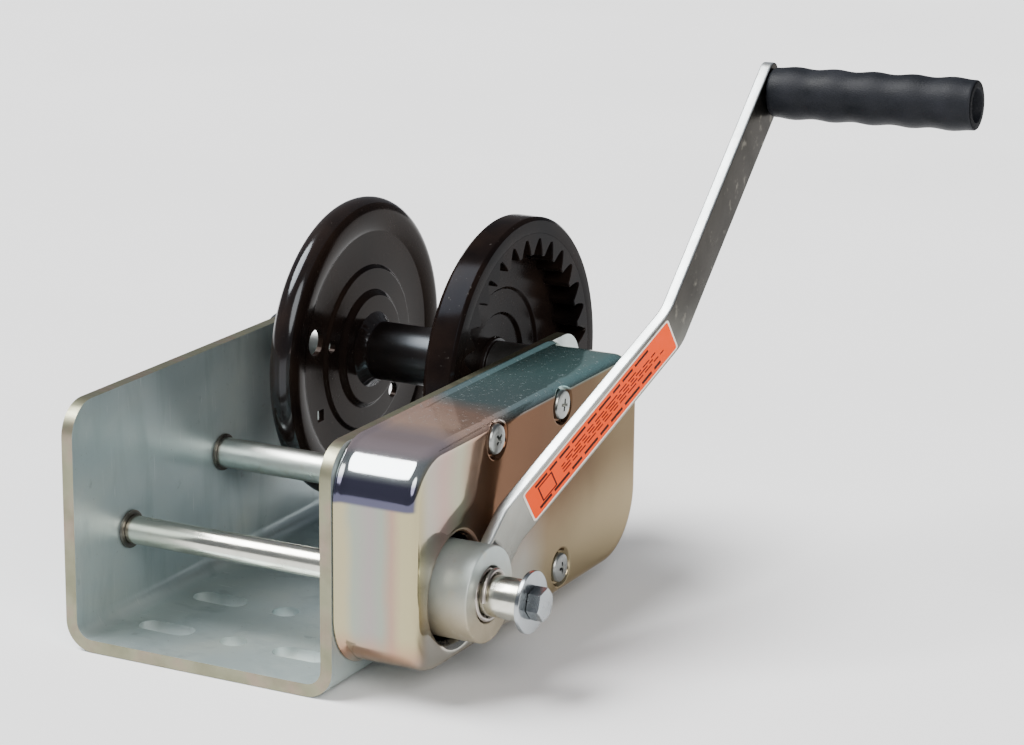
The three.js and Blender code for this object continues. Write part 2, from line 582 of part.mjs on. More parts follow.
put('idler_stud', STEEL, turned([[IN - 0.2, 0], [IN - 0.2, 5.1], [WALL + 0.1, 5.1], [WALL + 0.1, 9],
  [78, 9], [78, 6], [93.5, 6], [93.5, 0]], IDLER, 14).subtract(tube(8, 5, 90, 91.6, IDLER, 14)));
put('idler_gear', STEEL, bored(spur(IDLER_T, MOD, IDLER_PHASE, 78.5, 89.5, IDLER), 6.2, 78, 90, IDLER));
put('idler_clip', STEEL, clip(6, 90.2, IDLER));

put('mid_shaft', STEEL, midShaft());
put('mid_gear', STEEL, bored(spur(MID_GEAR, MOD, MID_PHASE, 78.5, 89.5, MID), 7.95, 78, 90, MID));
put('mid_pinion', STEEL,
  bored(spur(MID_PINION, MOD, MID_PHASE, 92, 103.6, MID), 7.95, 91, 104, MID));
put('mid_clip_left', STEEL, clip(7.85, -78.8, MID));
put('mid_clip_right', STEEL, clip(7.85, 104.3, MID));

put('final_shaft', STEEL, finalShaft());
put('final_gear', STEEL,
  bored(spur(FINAL_GEAR, MOD, FINAL_PHASE, 92.4, 103.4, FINAL), 9.1, 91, 104, FINAL));
put('final_clip', STEEL, clip(9, 104.3, FINAL));

put('reel_flange', BLACK, reelFlange());
put('reel_hub', BLACK, reelHub());
put('ring_gear', BLACK, ringGear());
put('reel_bushing_left', BRONZE, tube(12.1, 9.75, -32.8, -12, REEL, 18));
put('reel_bushing_right', BRONZE, tube(12.1, 9.75, 25, 45.8, REEL, 18));
put('reel_spacer_left', STEEL, tube(14, 9.75, -IN + 0.2, -33.4, REEL, 18));
put('reel_spacer_right', STEEL, tube(14, 9.75, 46.5, IN - 0.2, REEL, 18));
put('reel_bolt', ZINC, bar(9.5, -WALL + 0.2, WALL + 0.3, REEL, 18)
  .add(chamfered(7.9, -WALL - 14, -WALL + 0.4, 0.6, REEL, 18))
  .add(turned([[WALL + 0.2, 0], [WALL + 0.2, 12.9], [81, 12.9], [84, 10.5], [84, 0]], REEL, 24)));
put('reel_washer', ZINC, tube(15, 8.2, -WALL - 2.6, -WALL - 0.1, REEL, 18));
put('reel_nut', ZINC, plate(polygon(6, 14, 8), -WALL - 12.4, -WALL - 2.8, REEL)
  .subtract(bar(8.15, -100, -70, REEL, 18)));

put('gear_cover', GOLD, gearCover());
COVER_SCREWS.forEach((at, i) => {
  put(`cover_post_${i + 1}`, STEEL, coverPost(at));
  put(`cover_screw_${i + 1}`, ZINC, coverScrew(at));
});

export default group;
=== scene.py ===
"""Boat trailer winch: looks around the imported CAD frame. Lengths below are millimetres."""

import json
import math

import bmesh
import bpy
from mathutils import Matrix, Vector
from mathutils.geometry import delaunay_2d_cdt


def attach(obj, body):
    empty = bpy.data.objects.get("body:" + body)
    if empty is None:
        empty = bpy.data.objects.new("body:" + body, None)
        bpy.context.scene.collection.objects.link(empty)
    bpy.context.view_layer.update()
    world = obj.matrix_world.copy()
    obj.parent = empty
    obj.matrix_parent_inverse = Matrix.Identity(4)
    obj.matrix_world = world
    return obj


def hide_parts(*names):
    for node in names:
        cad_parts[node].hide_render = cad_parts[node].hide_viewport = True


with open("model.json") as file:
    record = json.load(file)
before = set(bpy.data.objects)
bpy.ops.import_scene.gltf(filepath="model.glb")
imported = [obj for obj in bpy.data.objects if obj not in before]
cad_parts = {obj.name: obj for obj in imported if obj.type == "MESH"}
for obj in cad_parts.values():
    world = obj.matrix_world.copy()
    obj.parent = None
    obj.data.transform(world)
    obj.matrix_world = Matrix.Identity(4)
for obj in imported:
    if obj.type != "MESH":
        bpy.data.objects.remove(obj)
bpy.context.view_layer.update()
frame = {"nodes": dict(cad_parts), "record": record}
MM = 0.001

# ---- sizes shared with the CAD ----
WIDTH, LENGTH, HEIGHT, PLATE = 150.0, 254.0, 123.0, 6.2
BEND, CORNER = 14.5, 17.0
DRIVE, MID, REEL = (-80.1, 48.5), (4.6, 65.9), (89.0, 106.5)
IDLER, FINAL = (-47.743, 61.843), (58.422, 77.224)
WALL, INNER = WIDTH / 2, WIDTH / 2 - PLATE
COVER_Y, COVER_Z = (-124.5, 111.8), (14.2, 122.9)
COVER_X, COVER_R, COVER_HEEL, COVER_EDGE = 117.2, 26.0, 35.0, 5.5
SCREWS = [(-43.8, 28.0), (24.6, 28.0), (-43.8, 112.4), (24.6, 112.4)]
HUB_R, HUB_X, HUB_BORE = 23.3, (105.9, 133.0), 13.6
TILT, LEAN = math.radians(52.8), math.radians(2.5)
ARM_W, ARM_T, ARM_X, ARM_RISE, ARM_BENDS = 25.4, 5.85, 123.2, 35.0, (40.0, 169.3)
PIN_RUN, TIP_RUN, TIP_R = 158.9, 13.5, 8.0
ARM_SLOPE = math.atan2(ARM_RISE, ARM_BENDS[1] - ARM_BENDS[0])
LABEL_S, LABEL_W = (50.5, 165.5), 21.4
GRIP_X, GRIP_R, GRIP_WAVES, GRIP_RECESS = (0.45, 110.0), 13.3, 5, 9
FLANGE_X, FLANGE_R, FLANGE_ROLL, FLANGE_T = -38.0, 72.2, 7.9, 3.0
DRIVE_PINION, IDLER_TEETH, MID_GEAR, MID_PINION = 12, 16, 26, 12
FINAL_GEAR, FINAL_PINION, RING_TEETH = 32, 10, 30
DRIVE_PHASE, PRESSURE_ANGLE = 0.1, math.radians(25)
RING_TIP, RING_PITCH, RING_ROOT, RING_BACK = 60.4, 63.5, 69.0, 72
RING_X, RING_PLAY, RING_CHAMFER = (47.6, 63), 0.55, 0.5
SLOT_ROWS, SLOT_X, SLOT_LEN, SLOT_W = (-94.3, -46.0, 94.3), 38.5, 30.5, 13.5
SHAFT_HOLE, REEL_HOLE, FINAL_HOLE = 9.1, 9.8, 12.8

# ---- how the pictures are taken, in degrees and metres ----
AZIMUTH, ELEVATION, ROLL = 27.622, 15.427, 0.541
LENS, SENSOR, CAMERA_AT = 114.11, 36, (0.8060, -1.3459, 0.5518)
FLOOR_SIZE, FLOOR_AT = 60, (0, 6, -0.0004)
SKY_COLOR, SKY_STRENGTH = (0.86, 0.90, 1.0, 1), 0.25
LIGHTS = [("softbox_over", (-0.47, -0.27, 0.83), 7.6, 38, (1, 1, 1)),
          ("softbox_side", (0.60, -0.58, 0.52), 2.2, 34, (1.0, 0.97, 0.93))]


# ---- camera ----
def add_camera():
    az, el, roll = (math.radians(a) for a in (AZIMUTH, ELEVATION, ROLL))
    back = Vector((math.sin(az) * math.cos(el), -math.cos(az) * math.cos(el), math.sin(el)))
    right = Vector((math.cos(az), math.sin(az), 0))
    up = back.cross(right)
    side = right * math.cos(roll) + up * math.sin(roll)
    top = up * math.cos(roll) - right * math.sin(roll)
    cam = bpy.data.objects.new("camera", bpy.data.cameras.new("camera"))
    cam.data.sensor_fit = "HORIZONTAL"
    cam.data.sensor_width = SENSOR
    cam.data.lens = LENS
    cam.data.clip_end = 50
    rows = Matrix((side, top, back)).transposed().to_4x4()
    cam.matrix_world = Matrix.Translation(CAMERA_AT) @ rows
    bpy.context.scene.collection.objects.link(cam)
    bpy.context.scene.camera = cam


# ---- mesh helpers ----
def make_object(name, verts, faces, angle=32):
    mesh = bpy.data.meshes.new(name)
    mesh.from_pydata([Vector(v) * MM for v in verts], [], faces)
    bm = bmesh.new()
    bm.from_mesh(mesh)
    bmesh.ops.recalc_face_normals(bm, faces=bm.faces)
    bm.to_mesh(mesh)
    bm.free()
    mesh.shade_smooth()
    mesh.set_sharp_from_angle(angle=math.radians(angle))
    obj = bpy.data.objects.new(name, mesh)
    bpy.context.scene.collection.objects.link(obj)
    return obj


def piece(obj, body, slot_name, material, *nodes):
    if obj.data.materials:
        obj.data.materials[0] = material
    else:
        obj.data.materials.append(material)
    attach(obj, body)
    if nodes:
        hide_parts(*nodes)
    return obj


def fillet(points, radius, steps=4, closed=True):
    """Rounds each corner of a 2D outline by up to radius."""
    out, n = [], len(points)
    for i, p in enumerate(points):
        if not closed and i in (0, n - 1):
            out.append(tuple(p))
            continue
        a, b, c = Vector(points[i - 1]), Vector(p), Vector(points[(i + 1) % n])
        to_a, to_c = a - b, c - b
        if to_a.length < 1e-6 or to_c.length < 1e-6:
            continue
        turn = math.pi - to_a.angle(to_c)
        if turn < 0.08:
            out.append(tuple(p))
            continue
        cut = min(radius * math.tan(turn / 2), 0.45 * to_a.length, 0.45 * to_c.length)
        s, e = b + to_a.normalized() * cut, b + to_c.normalized() * cut
        for k in range(steps + 1):
            t = k / steps
            out.append(tuple(s * (1 - t) ** 2 + b * 2 * t * (1 - t) + e * t * t))
    return out


def arc(cx, cy, r, a0, a1, n):
    return [(cx + r * math.cos(math.radians(a0 + (a1 - a0) * i / n)),
             cy + r * math.sin(math.radians(a0 + (a1 - a0) * i / n))) for i in range(n + 1)]


def lathe(name, profile, at, n=96, angle=32):
    """A closed (x, r) outline turned about the X axis through at. r = 0 makes a pole."""
    verts, rows, faces = [], [], []
    for x, r in profile:
        if r < 1e-6:
            verts.append((x, at[0], at[1]))
            rows.append([len(verts) - 1] * n)
            continue
        rows.append(list(range(len(verts), len(verts) + n)))
        for k in range(n):
            a = 2 * math.pi * k / n
            verts.append((x, at[0] + r * math.cos(a), at[1] + r * math.sin(a)))
    for i, row in enumerate(rows):
        nxt = rows[(i + 1) % len(rows)]
        if row[0] == row[1] and nxt[0] == nxt[1]:
            continue
        for k in range(n):
            ring = [row[k], row[(k + 1) % n], nxt[(k + 1) % n], nxt[k]]
            face = list(dict.fromkeys(ring))
            if len(face) > 2:
                faces.append(face)
    return make_object(name, verts, faces, angle)


def prism_faces(n):
    """Two end faces and n side faces, between two loops of n points each."""
    return ([list(range(n)), list(range(2 * n - 1, n - 1, -1))]
            + [[i, (i + 1) % n, n + (i + 1) % n, n + i] for i in range(n)])


def prism(name, outline, x0, x1, at=(0, 0)):
    """A (y, z) outline pushed along X."""
    verts = [(x, at[0] + y, at[1] + z) for x in (x0, x1) for y, z in outline]
    return make_object(name, verts, prism_faces(len(outline)))


def add_bevel(obj, width, segments=2, limit=35):
    mod = obj.modifiers.new("bevel", "BEVEL")
    mod.width = width * MM
    mod.segments = segments
    mod.limit_method = "ANGLE"
    mod.angle_limit = math.radians(limit)
    mod.harden_normals = True


def bake(obj):
    """Replaces the object's mesh by the result of its modifiers."""
    graph = bpy.context.evaluated_depsgraph_get()
    mesh = bpy.data.meshes.new_from_object(obj.evaluated_get(graph))
    obj.modifiers.clear()
    obj.data = mesh
    return obj


def carve(obj, cutters, operation="DIFFERENCE"):
    for cutter in cutters:
        mod = obj.modifiers.new("cut", "BOOLEAN")
        mod.operation = operation
        mod.solver = "EXACT"
        mod.object = cutter
    bake(obj)
    for cutter in cutters:
        bpy.data.objects.remove(cutter)
    obj.data.shade_smooth()
    obj.data.set_sharp_from_angle(angle=math.radians(32))
    return obj


def rod(name, r, x0, x1, at, n=96, soft=0.5):
    profile = fillet([(x0, 0), (x0, r), (x1, r), (x1, 0)], soft, 3, closed=False)
    return lathe(name, profile, at, n)


def pipe(name, r, bore, x0, x1, at, n=96, soft=0.4):
    return lathe(name, fillet([(x0, bore), (x0, r), (x1, r), (x1, bore)], soft, 3), at, n)


def hexagon(r, turn=0):
    return [(r * math.cos(math.radians(60 * k + turn)), r * math.sin(math.radians(60 * k + turn)))
            for k in range(6)]


def sweep(name, path, r, sides=12):
    """A round wire along a list of points, with flat ends."""
    pts = [Vector(p) for p in path]
    verts, faces = [], []
    ref = Vector((1, 0, 0))
    for i, p in enumerate(pts):
        way = (pts[min(i + 1, len(pts) - 1)] - pts[max(i - 1, 0)]).normalized()
        side = (ref - way * ref.dot(way)).normalized()
        up = way.cross(side)
        ref = side
        for k in range(sides):
            a = 2 * math.pi * k / sides
            verts.append(p + side * r * math.cos(a) + up * r * math.sin(a))
    for i in range(len(pts) - 1):
        for k in range(sides):
            j = (k + 1) % sides
            faces.append([i * sides + k, i * sides + j, (i + 1) * sides + j, (i + 1) * sides + k])
    faces.append(list(range(sides)))
    faces.append(list(range(len(verts) - 1, len(verts) - 1 - sides, -1)))
    return make_object(name, verts, faces, 60)


# ---- materials ----
class Look:
    """One node material: a Principled shader with helpers for procedural inputs."""

    def __init__(self, name, **values):
        self.mat = bpy.data.materials.new(name)
        self.mat.use_nodes = True
        self.tree = self.mat.node_tree
        self.shader = self.tree.nodes["Principled BSDF"]
        for key, value in values.items():
            self.shader.inputs[key.replace("_", " ")].default_value = value
        self.coords = self.tree.nodes.new("ShaderNodeTexCoord").outputs["Object"]

    def add(self, kind, **values):
        node = self.tree.nodes.new(kind)
        for key, value in values.items():
            setattr(node, key, value)
        return node

    def link(self, out, into):
        self.tree.links.new(out, into)

    def mapped(self, scale):
        node = self.add("ShaderNodeMapping")
        node.inputs["Scale"].default_value = scale
        self.link(self.coords, node.inputs["Vector"])
        return node.outputs["Vector"]

    def noise(self, scale, detail=4, stretch=(1, 1, 1), distortion=0.0, rough=0.55):
        node = self.add("ShaderNodeTexNoise")
        node.inputs["Scale"].default_value = scale
        node.inputs["Detail"].default_value = detail
        node.inputs["Roughness"].default_value = rough
        node.inputs["Distortion"].default_value = distortion
        self.link(self.mapped(stretch), node.inputs["Vector"])
        return node.outputs["Fac"]

    def ramp(self, value, stops):
        node = self.add("ShaderNodeValToRGB")
        ramp = node.color_ramp
        while len(ramp.elements) < len(stops):
            ramp.elements.new(0.5)
        for element, (at, color) in zip(ramp.elements, stops):
            element.position = at
            element.color = (*color, 1)
        self.link(value, node.inputs["Fac"])
        return node.outputs["Color"]

    def grey(self, value, stops):
        return self.ramp(value, [(at, (v, v, v)) for at, v in stops])

    def mix(self, fac, a, b, mode="MIX"):
        node = self.add("ShaderNodeMix", data_type="RGBA", blend_type=mode)
        for socket, value in ((node.inputs[0], fac), (node.inputs[6], a), (node.inputs[7], b)):
            if isinstance(value, bpy.types.NodeSocket):
                self.link(value, socket)
            elif isinstance(value, tuple):
                socket.default_value = (*value, 1)
            else:
                socket.default_value = value
        return node.outputs[2]

    def math(self, op, a, b=0.5):
        node = self.add("ShaderNodeMath", operation=op)
        for socket, value in zip(node.inputs, (a, b)):
            if isinstance(value, bpy.types.NodeSocket):
                self.link(value, socket)
            else:
                socket.default_value = value
        return node.outputs[0]

    def axis(self, name):
        node = self.add("ShaderNodeSeparateXYZ")
        self.link(self.coords, node.inputs[0])
        return node.outputs[name]

    def span(self, value, low, high):
        """0 at low, 1 at high, with soft ends; low and high in millimetres."""
        node = self.add("ShaderNodeMapRange", interpolation_type="SMOOTHSTEP")
        self.link(value, node.inputs["Value"])
        node.inputs["From Min"].default_value = low * MM
        node.inputs["From Max"].default_value = high * MM
        return node.outputs["Result"]

    def wavy(self, name, scale, amount):
        """An axis of the object's own coordinates, bent by noise of amount millimetres."""
        drift = self.math("MULTIPLY", self.math("SUBTRACT", self.noise(scale, 3)), amount * MM)
        return self.math("ADD", self.axis(name), drift)

    def bump(self, height, strength, distance=0.0002, under=None):
        node = self.add("ShaderNodeBump")
        node.inputs["Strength"].default_value = strength
        node.inputs["Distance"].default_value = distance
        self.link(height, node.inputs["Height"])
        if under:
            self.link(under, node.inputs["Normal"])
        return node.outputs["Normal"]

    def out(self, color, roughness, normal=None):
        self.link(color, self.shader.inputs["Base Color"])
        self.link(roughness, self.shader.inputs["Roughness"])
        if normal:
            self.link(normal, self.shader.inputs["Normal"])
        return self.mat


def zinc_plate():
    look = Look("zinc_plate", Metallic=0.72)
    cloud = look.noise(9, 5, distortion=0.6)
    streak = look.noise(26, 4, stretch=(1, 0.35, 1.6))
    fine = look.noise(900, 3)
    color = look.ramp(cloud, [(0.3, (0.34, 0.42, 0.43)), (0.5, (0.46, 0.53, 0.52)),
                              (0.72, (0.55, 0.59, 0.53))])
    smear = look.grey(look.noise(34, 5, stretch=(1, 1.3, 0.28), distortion=0.5),
                      [(0.52, 0.0), (0.68, 0.55)])
    color = look.mix(smear, color, (0.25, 0.30, 0.30))
    spot = look.grey(look.noise(75, 4, rough=0.65), [(0.66, 0.0), (0.74, 0.6)])
    color = look.mix(spot, color, (0.27, 0.31, 0.30))
    color = look.mix(look.grey(streak, [(0.35, 0.0), (0.75, 0.5)]), color, (0.40, 0.50, 0.53))
    specks = look.grey(look.noise(420, 2, rough=0.7), [(0.70, 0.0), (0.74, 1.0)])
    color = look.mix(look.math("MULTIPLY", specks, 0.55), color, (0.24, 0.25, 0.23))
    scratch = look.grey(look.noise(60, 5, stretch=(1, 14, 0.6), distortion=0.4),
                        [(0.66, 0.0), (0.69, 1.0)])
    color = look.mix(look.math("MULTIPLY", scratch, 0.3), color, (0.85, 0.87, 0.86))
    rough = look.mix(smear, look.grey(cloud, [(0.3, 0.28), (0.7, 0.42)]), (0.5, 0.5, 0.5))
    normal = look.bump(fine, 0.12, under=look.bump(cloud, 0.1, 0.001))
    return look.out(color, rough, normal)


def cut_edge():
    look = Look("cut_edge", Metallic=0.9)
    band = look.noise(40)
    shear = look.noise(260, 3, stretch=(0.25, 1, 0.25))
    color = look.ramp(band, [(0.3, (0.20, 0.205, 0.135)), (0.5, (0.245, 0.24, 0.165)),
                             (0.62, (0.27, 0.22, 0.17)), (0.75, (0.225, 0.25, 0.165))])
    color = look.mix(look.grey(shear, [(0.45, 0.0), (0.8, 0.6)]), color, (0.15, 0.14, 0.09))
    rough = look.grey(shear, [(0.3, 0.30), (0.7, 0.48)])
    return look.out(color, rough, look.bump(shear, 0.35, 0.0003))


def cover_zinc():
    """Zinc with a yellow passivation; its colour is painted by position over the pressing, as
    painted reflections.
    """
    look = Look("cover_zinc", Metallic=0.9)
    # warm specular tint: a painted copper colour for the cover's reflections
    look.shader.inputs["Specular Tint"].default_value = (0.82, 0.71, 0.63, 1)
    along = look.span(look.wavy("Y", 14, 34), -128, 116)
    across = look.span(look.wavy("X", 20, 9), 74, 118)
    height = look.axis("Z")
    # painted reflection: the face's dark brown is the copper reflection it shows, laid into its
    # colour
    face = look.ramp(along, [
        (0.02, (0.38, 0.37, 0.32)), (0.06, (0.42, 0.30, 0.27)), (0.11, (0.36, 0.37, 0.27)),
        (0.16, (0.34, 0.23, 0.17)), (0.25, (0.120, 0.058, 0.032)),
        (0.50, (0.082, 0.037, 0.020)), (0.70, (0.070, 0.038, 0.021)),
        (0.84, (0.068, 0.045, 0.025)), (0.97, (0.11, 0.085, 0.048))])
    # painted reflection: the face turns paler grey below Z 78, browner towards the back
    low = look.ramp(along, [(0.10, (0.40, 0.40, 0.36)), (0.45, (0.38, 0.39, 0.36)),
                            (0.62, (0.30, 0.25, 0.155)), (0.95, (0.27, 0.225, 0.135))])
    lower_reflection_mask = look.span(look.wavy("Z", 16, 26), 78, 30)
    film = look.mix(lower_reflection_mask, face, low)
    # painted reflection: bands across the front wall, turning brown below Z 38
    front = look.ramp(across, [
        (0.04, (0.38, 0.34, 0.21)), (0.15, (0.27, 0.30, 0.25)), (0.42, (0.29, 0.26, 0.25)),
        (0.62, (0.26, 0.29, 0.24)), (0.80, (0.34, 0.23, 0.18)), (0.93, (0.38, 0.34, 0.20))])
    front = look.mix(look.span(look.wavy("Z", 30, 12), 38, 20), front, (0.36, 0.21, 0.14))
    film = look.mix(look.span(look.axis("Y"), -108, -121), film, front)
    # painted reflection: navy on the front wall's rounded top corner up to Z 108, grey-teal above
    painted_bend_reflection = look.mix(look.span(height, 108, 112), (0.085, 0.085, 0.13), (0.34, 0.37, 0.38))
    bent = look.math("MULTIPLY", look.span(height, 96.5, 98.5),
                     look.math("MULTIPLY", look.span(look.axis("Y"), -98, -106),
                               look.span(look.axis("X"), 117.1, 115.6)))
    film = look.mix(bent, film, painted_bend_reflection)
    # painted reflection: the top is pink-copper towards the front and teal towards the back
    top = look.ramp(along, [(0.06, (0.55, 0.46, 0.48)), (0.13, (0.95, 0.66, 0.52)),
                            (0.28, (0.90, 0.60, 0.48)), (0.38, (0.36, 0.50, 0.52)),
                            (0.8, (0.26, 0.48, 0.48))])
    film = look.mix(look.span(height, 117.5, 121.5), film, top)
    grit = look.grey(look.noise(420, 4, rough=0.7), [(0.55, 0.0), (0.72, 1.0)])
    haze = look.math("MULTIPLY", grit,
                     look.math("MULTIPLY", look.span(height, 119, 122.5),
                               look.span(look.axis("Y"), -100, -60)))
    film = look.mix(look.math("MULTIPLY", haze, 0.5), film, (0.75, 0.80, 0.80))
    drift = look.noise(18, 4, distortion=0.8)
    rough = look.mix(haze, look.grey(drift, [(0.3, 0.07), (0.7, 0.13)]), (0.4, 0.4, 0.4))
    fine = look.noise(500, 3)
    normal = look.bump(fine, 0.03, under=look.bump(look.noise(35, 3), 0.08, 0.0008))
    return look.out(film, rough, normal)


def bright_zinc(name, tint, rough, far=None, span=(0, 1), worn=(0.50, 0.46, 0.36),
                metallic=1.0, grazing=1.0):
    """Plated steel; with far, the tint drifts to it between two heights in millimetres, a painted
    reflection that changes the part's tone with height.
    """
    look = Look(name, Metallic=metallic)
    look.shader.inputs["Specular Tint"].default_value = (grazing, grazing, grazing, 1)
    cloud = look.noise(45, 4, distortion=0.5)
    rings = look.noise(700, 3, stretch=(1, 0.06, 0.06))
    # with far, painted reflection: the tint changes with height
    if far:
        tint = look.mix(look.span(look.wavy("Z", 40, 8), *span), tint, far)
    color = look.mix(look.grey(cloud, [(0.35, 0.0), (0.75, 0.45)]), tint,
                     look.mix(1.0, tint, (0.62, 0.62, 0.62), "MULTIPLY"))
    color = look.mix(look.grey(look.noise(160, 3), [(0.6, 0.0), (0.72, 0.35)]), color, worn)
    grain = look.grey(look.noise(900, 4, rough=0.7), [(0.60, 0.0), (0.75, 0.4)])
    color = look.mix(grain, color, look.mix(1.0, color, (0.5, 0.5, 0.5), "MULTIPLY"))
    fac = look.grey(cloud, [(0.3, rough[0]), (0.7, rough[1])])
    return look.out(color, fac, look.bump(rings, 0.08))


def gloss_black(name, ior, tint, rough=(0.10, 0.19)):
    """Black paint with fine orange peel and a little dust; tint is a painted colour for its
    reflections.
    """
    look = Look(name, Metallic=0.0, IOR=ior)
    look.shader.inputs["Specular Tint"].default_value = (*tint, 1)
    cloud = look.noise(30, 3)
    color = look.ramp(cloud, [(0.3, (0.004, 0.003, 0.003)), (0.7, (0.013, 0.008, 0.006))])
    dust = look.grey(look.noise(500, 2, rough=0.7), [(0.71, 0.0), (0.75, 0.5)])
    color = look.mix(dust, color, (0.12, 0.11, 0.10))
    return look.out(color, look.grey(cloud, [(0.3, rough[0]), (0.7, rough[1])]),
                    look.bump(look.noise(260, 2), 0.06))


def grip_rubber(name, ior, shade=1.0):
    """Finely grained black rubber; shade darkens it."""
    look = Look(name, Metallic=0.0, IOR=ior)
    grain = look.noise(1500)
    cloud = look.noise(60, 3)
    tones = [(0.3, (0.005, 0.006, 0.008)), (0.7, (0.013, 0.014, 0.018))]
    color = look.ramp(cloud, [(at, tuple(c * shade for c in tone)) for at, tone in tones])
    return look.out(color, look.grey(cloud, [(0.3, 0.42), (0.7, 0.58)]),
                    look.bump(grain, 0.5, 0.0004))


def label_film(name, color, worn):
    look = Look(name, Metallic=0.0, IOR=1.2)
    patch = look.noise(70, 4)
    shade = look.mix(look.grey(patch, [(0.4, 0.0), (0.8, 0.5)]), color, worn)
    return look.out(shade, look.grey(patch, [(0.3, 0.5), (0.7, 0.66)]),
                    look.bump(look.noise(400, 2), 0.05))


def machined_steel(name, tint, rough=0.34):
    look = Look(name, Metallic=1.0)
    lines = look.noise(600, 4, stretch=(1, 0.2, 0.2))
    cloud = look.noise(50, 4)
    color = look.mix(look.grey(cloud, [(0.35, 0.0), (0.75, 0.6)]), tint,
                     tuple(c * 0.6 for c in tint))
    return look.out(color, look.grey(cloud, [(0.3, rough - 0.06), (0.7, rough + 0.1)]),
                    look.bump(lines, 0.12))


def brake_lining():
    look = Look("brake_lining", Metallic=0.0)
    fleck = look.noise(500, 5)
    color = look.ramp(fleck, [(0.4, (0.06, 0.045, 0.04)), (0.7, (0.16, 0.12, 0.10))])
    return look.out(color, look.grey(fleck, [(0.3, 0.7), (0.7, 0.9)]), look.bump(fleck, 0.4))


def plain_floor():
    look = Look("floor_white", Metallic=0.0)
    speck = look.noise(3, 2)
    return look.out(look.ramp(speck, [(0.3, (0.86, 0.86, 0.86)), (0.7, (0.88, 0.88, 0.88))]),
                    look.grey(speck, [(0.3, 0.7), (0.7, 0.8)]))


ZINC, EDGE, COVER = zinc_plate(), cut_edge(), cover_zinc()
# the hub is brownish below Z 36 and lighter grey-blue above Z 66: painted reflection by height
HUB_ZINC = bright_zinc("hub_zinc", (0.36, 0.31, 0.22), (0.36, 0.50), (0.50, 0.56, 0.54),
                       (36, 66), metallic=0.6, grazing=0.8)
# the arm darkens to near black between Z 112 and Z 168: painted dark reflection on its upper part
ARM_ZINC = bright_zinc("arm_zinc", (0.32, 0.32, 0.29), (0.26, 0.38), (0.070, 0.066, 0.060),
                       (112, 168), (0.34, 0.32, 0.27), grazing=0.5)
# a lighter copy of the arm's zinc for its narrow rims: painted highlight
ARM_RIM = bright_zinc("arm_rim", (0.66, 0.70, 0.70), (0.30, 0.42))
FAST_ZINC = bright_zinc("fastener_zinc", (0.36, 0.385, 0.40), (0.18, 0.30))
SCREW_ZINC = bright_zinc("screw_zinc", (0.27, 0.28, 0.27), (0.26, 0.38))
ROD_ZINC = bright_zinc("rod_zinc", (0.66, 0.66, 0.58), (0.16, 0.30))
TUBE_ZINC = bright_zinc("tube_zinc", (0.66, 0.68, 0.64), (0.26, 0.40))
# copies of one black paint: each specular tint is a painted reflection colour, brown on the
# flange face, blue on the ring, rim, weld and tube; the rim and tube copies have a higher IOR for
# stronger highlights than the same paint elsewhere
BLACK = gloss_black("gloss_black", 1.145, (1.0, 0.76, 0.64))
RING_BLACK = gloss_black("ring_black", 1.10, (0.64, 0.78, 1.0), (0.14, 0.24))
RIM_BLACK = gloss_black("rim_black", 1.42, (0.84, 0.92, 1.0))
TUBE_BLACK = gloss_black("tube_black", 1.45, (0.80, 0.90, 1.0), (0.28, 0.36))
RUBBER = grip_rubber("grip_rubber", 1.24)
# a darker copy of the grip rubber for its end face: painted shade, with weaker reflections
END_RUBBER = grip_rubber("grip_end_rubber", 1.08, 0.4)
ORANGE = label_film("label_orange", (0.86, 0.066, 0.001), (0.78, 0.075, 0.006))
PALE = label_film("label_border", (0.80, 0.74, 0.66), (0.70, 0.66, 0.60))
PRINT = label_film("label_print", (0.012, 0.006, 0.005), (0.05, 0.015, 0.008))
STEEL = machined_steel("inner_steel", (0.40, 0.40, 0.39))
SPRING = machined_steel("spring_steel", (0.46, 0.42, 0.38), 0.3)
BRONZE = machined_steel("bushing_bronze", (0.17, 0.155, 0.135))
LINING = brake_lining()


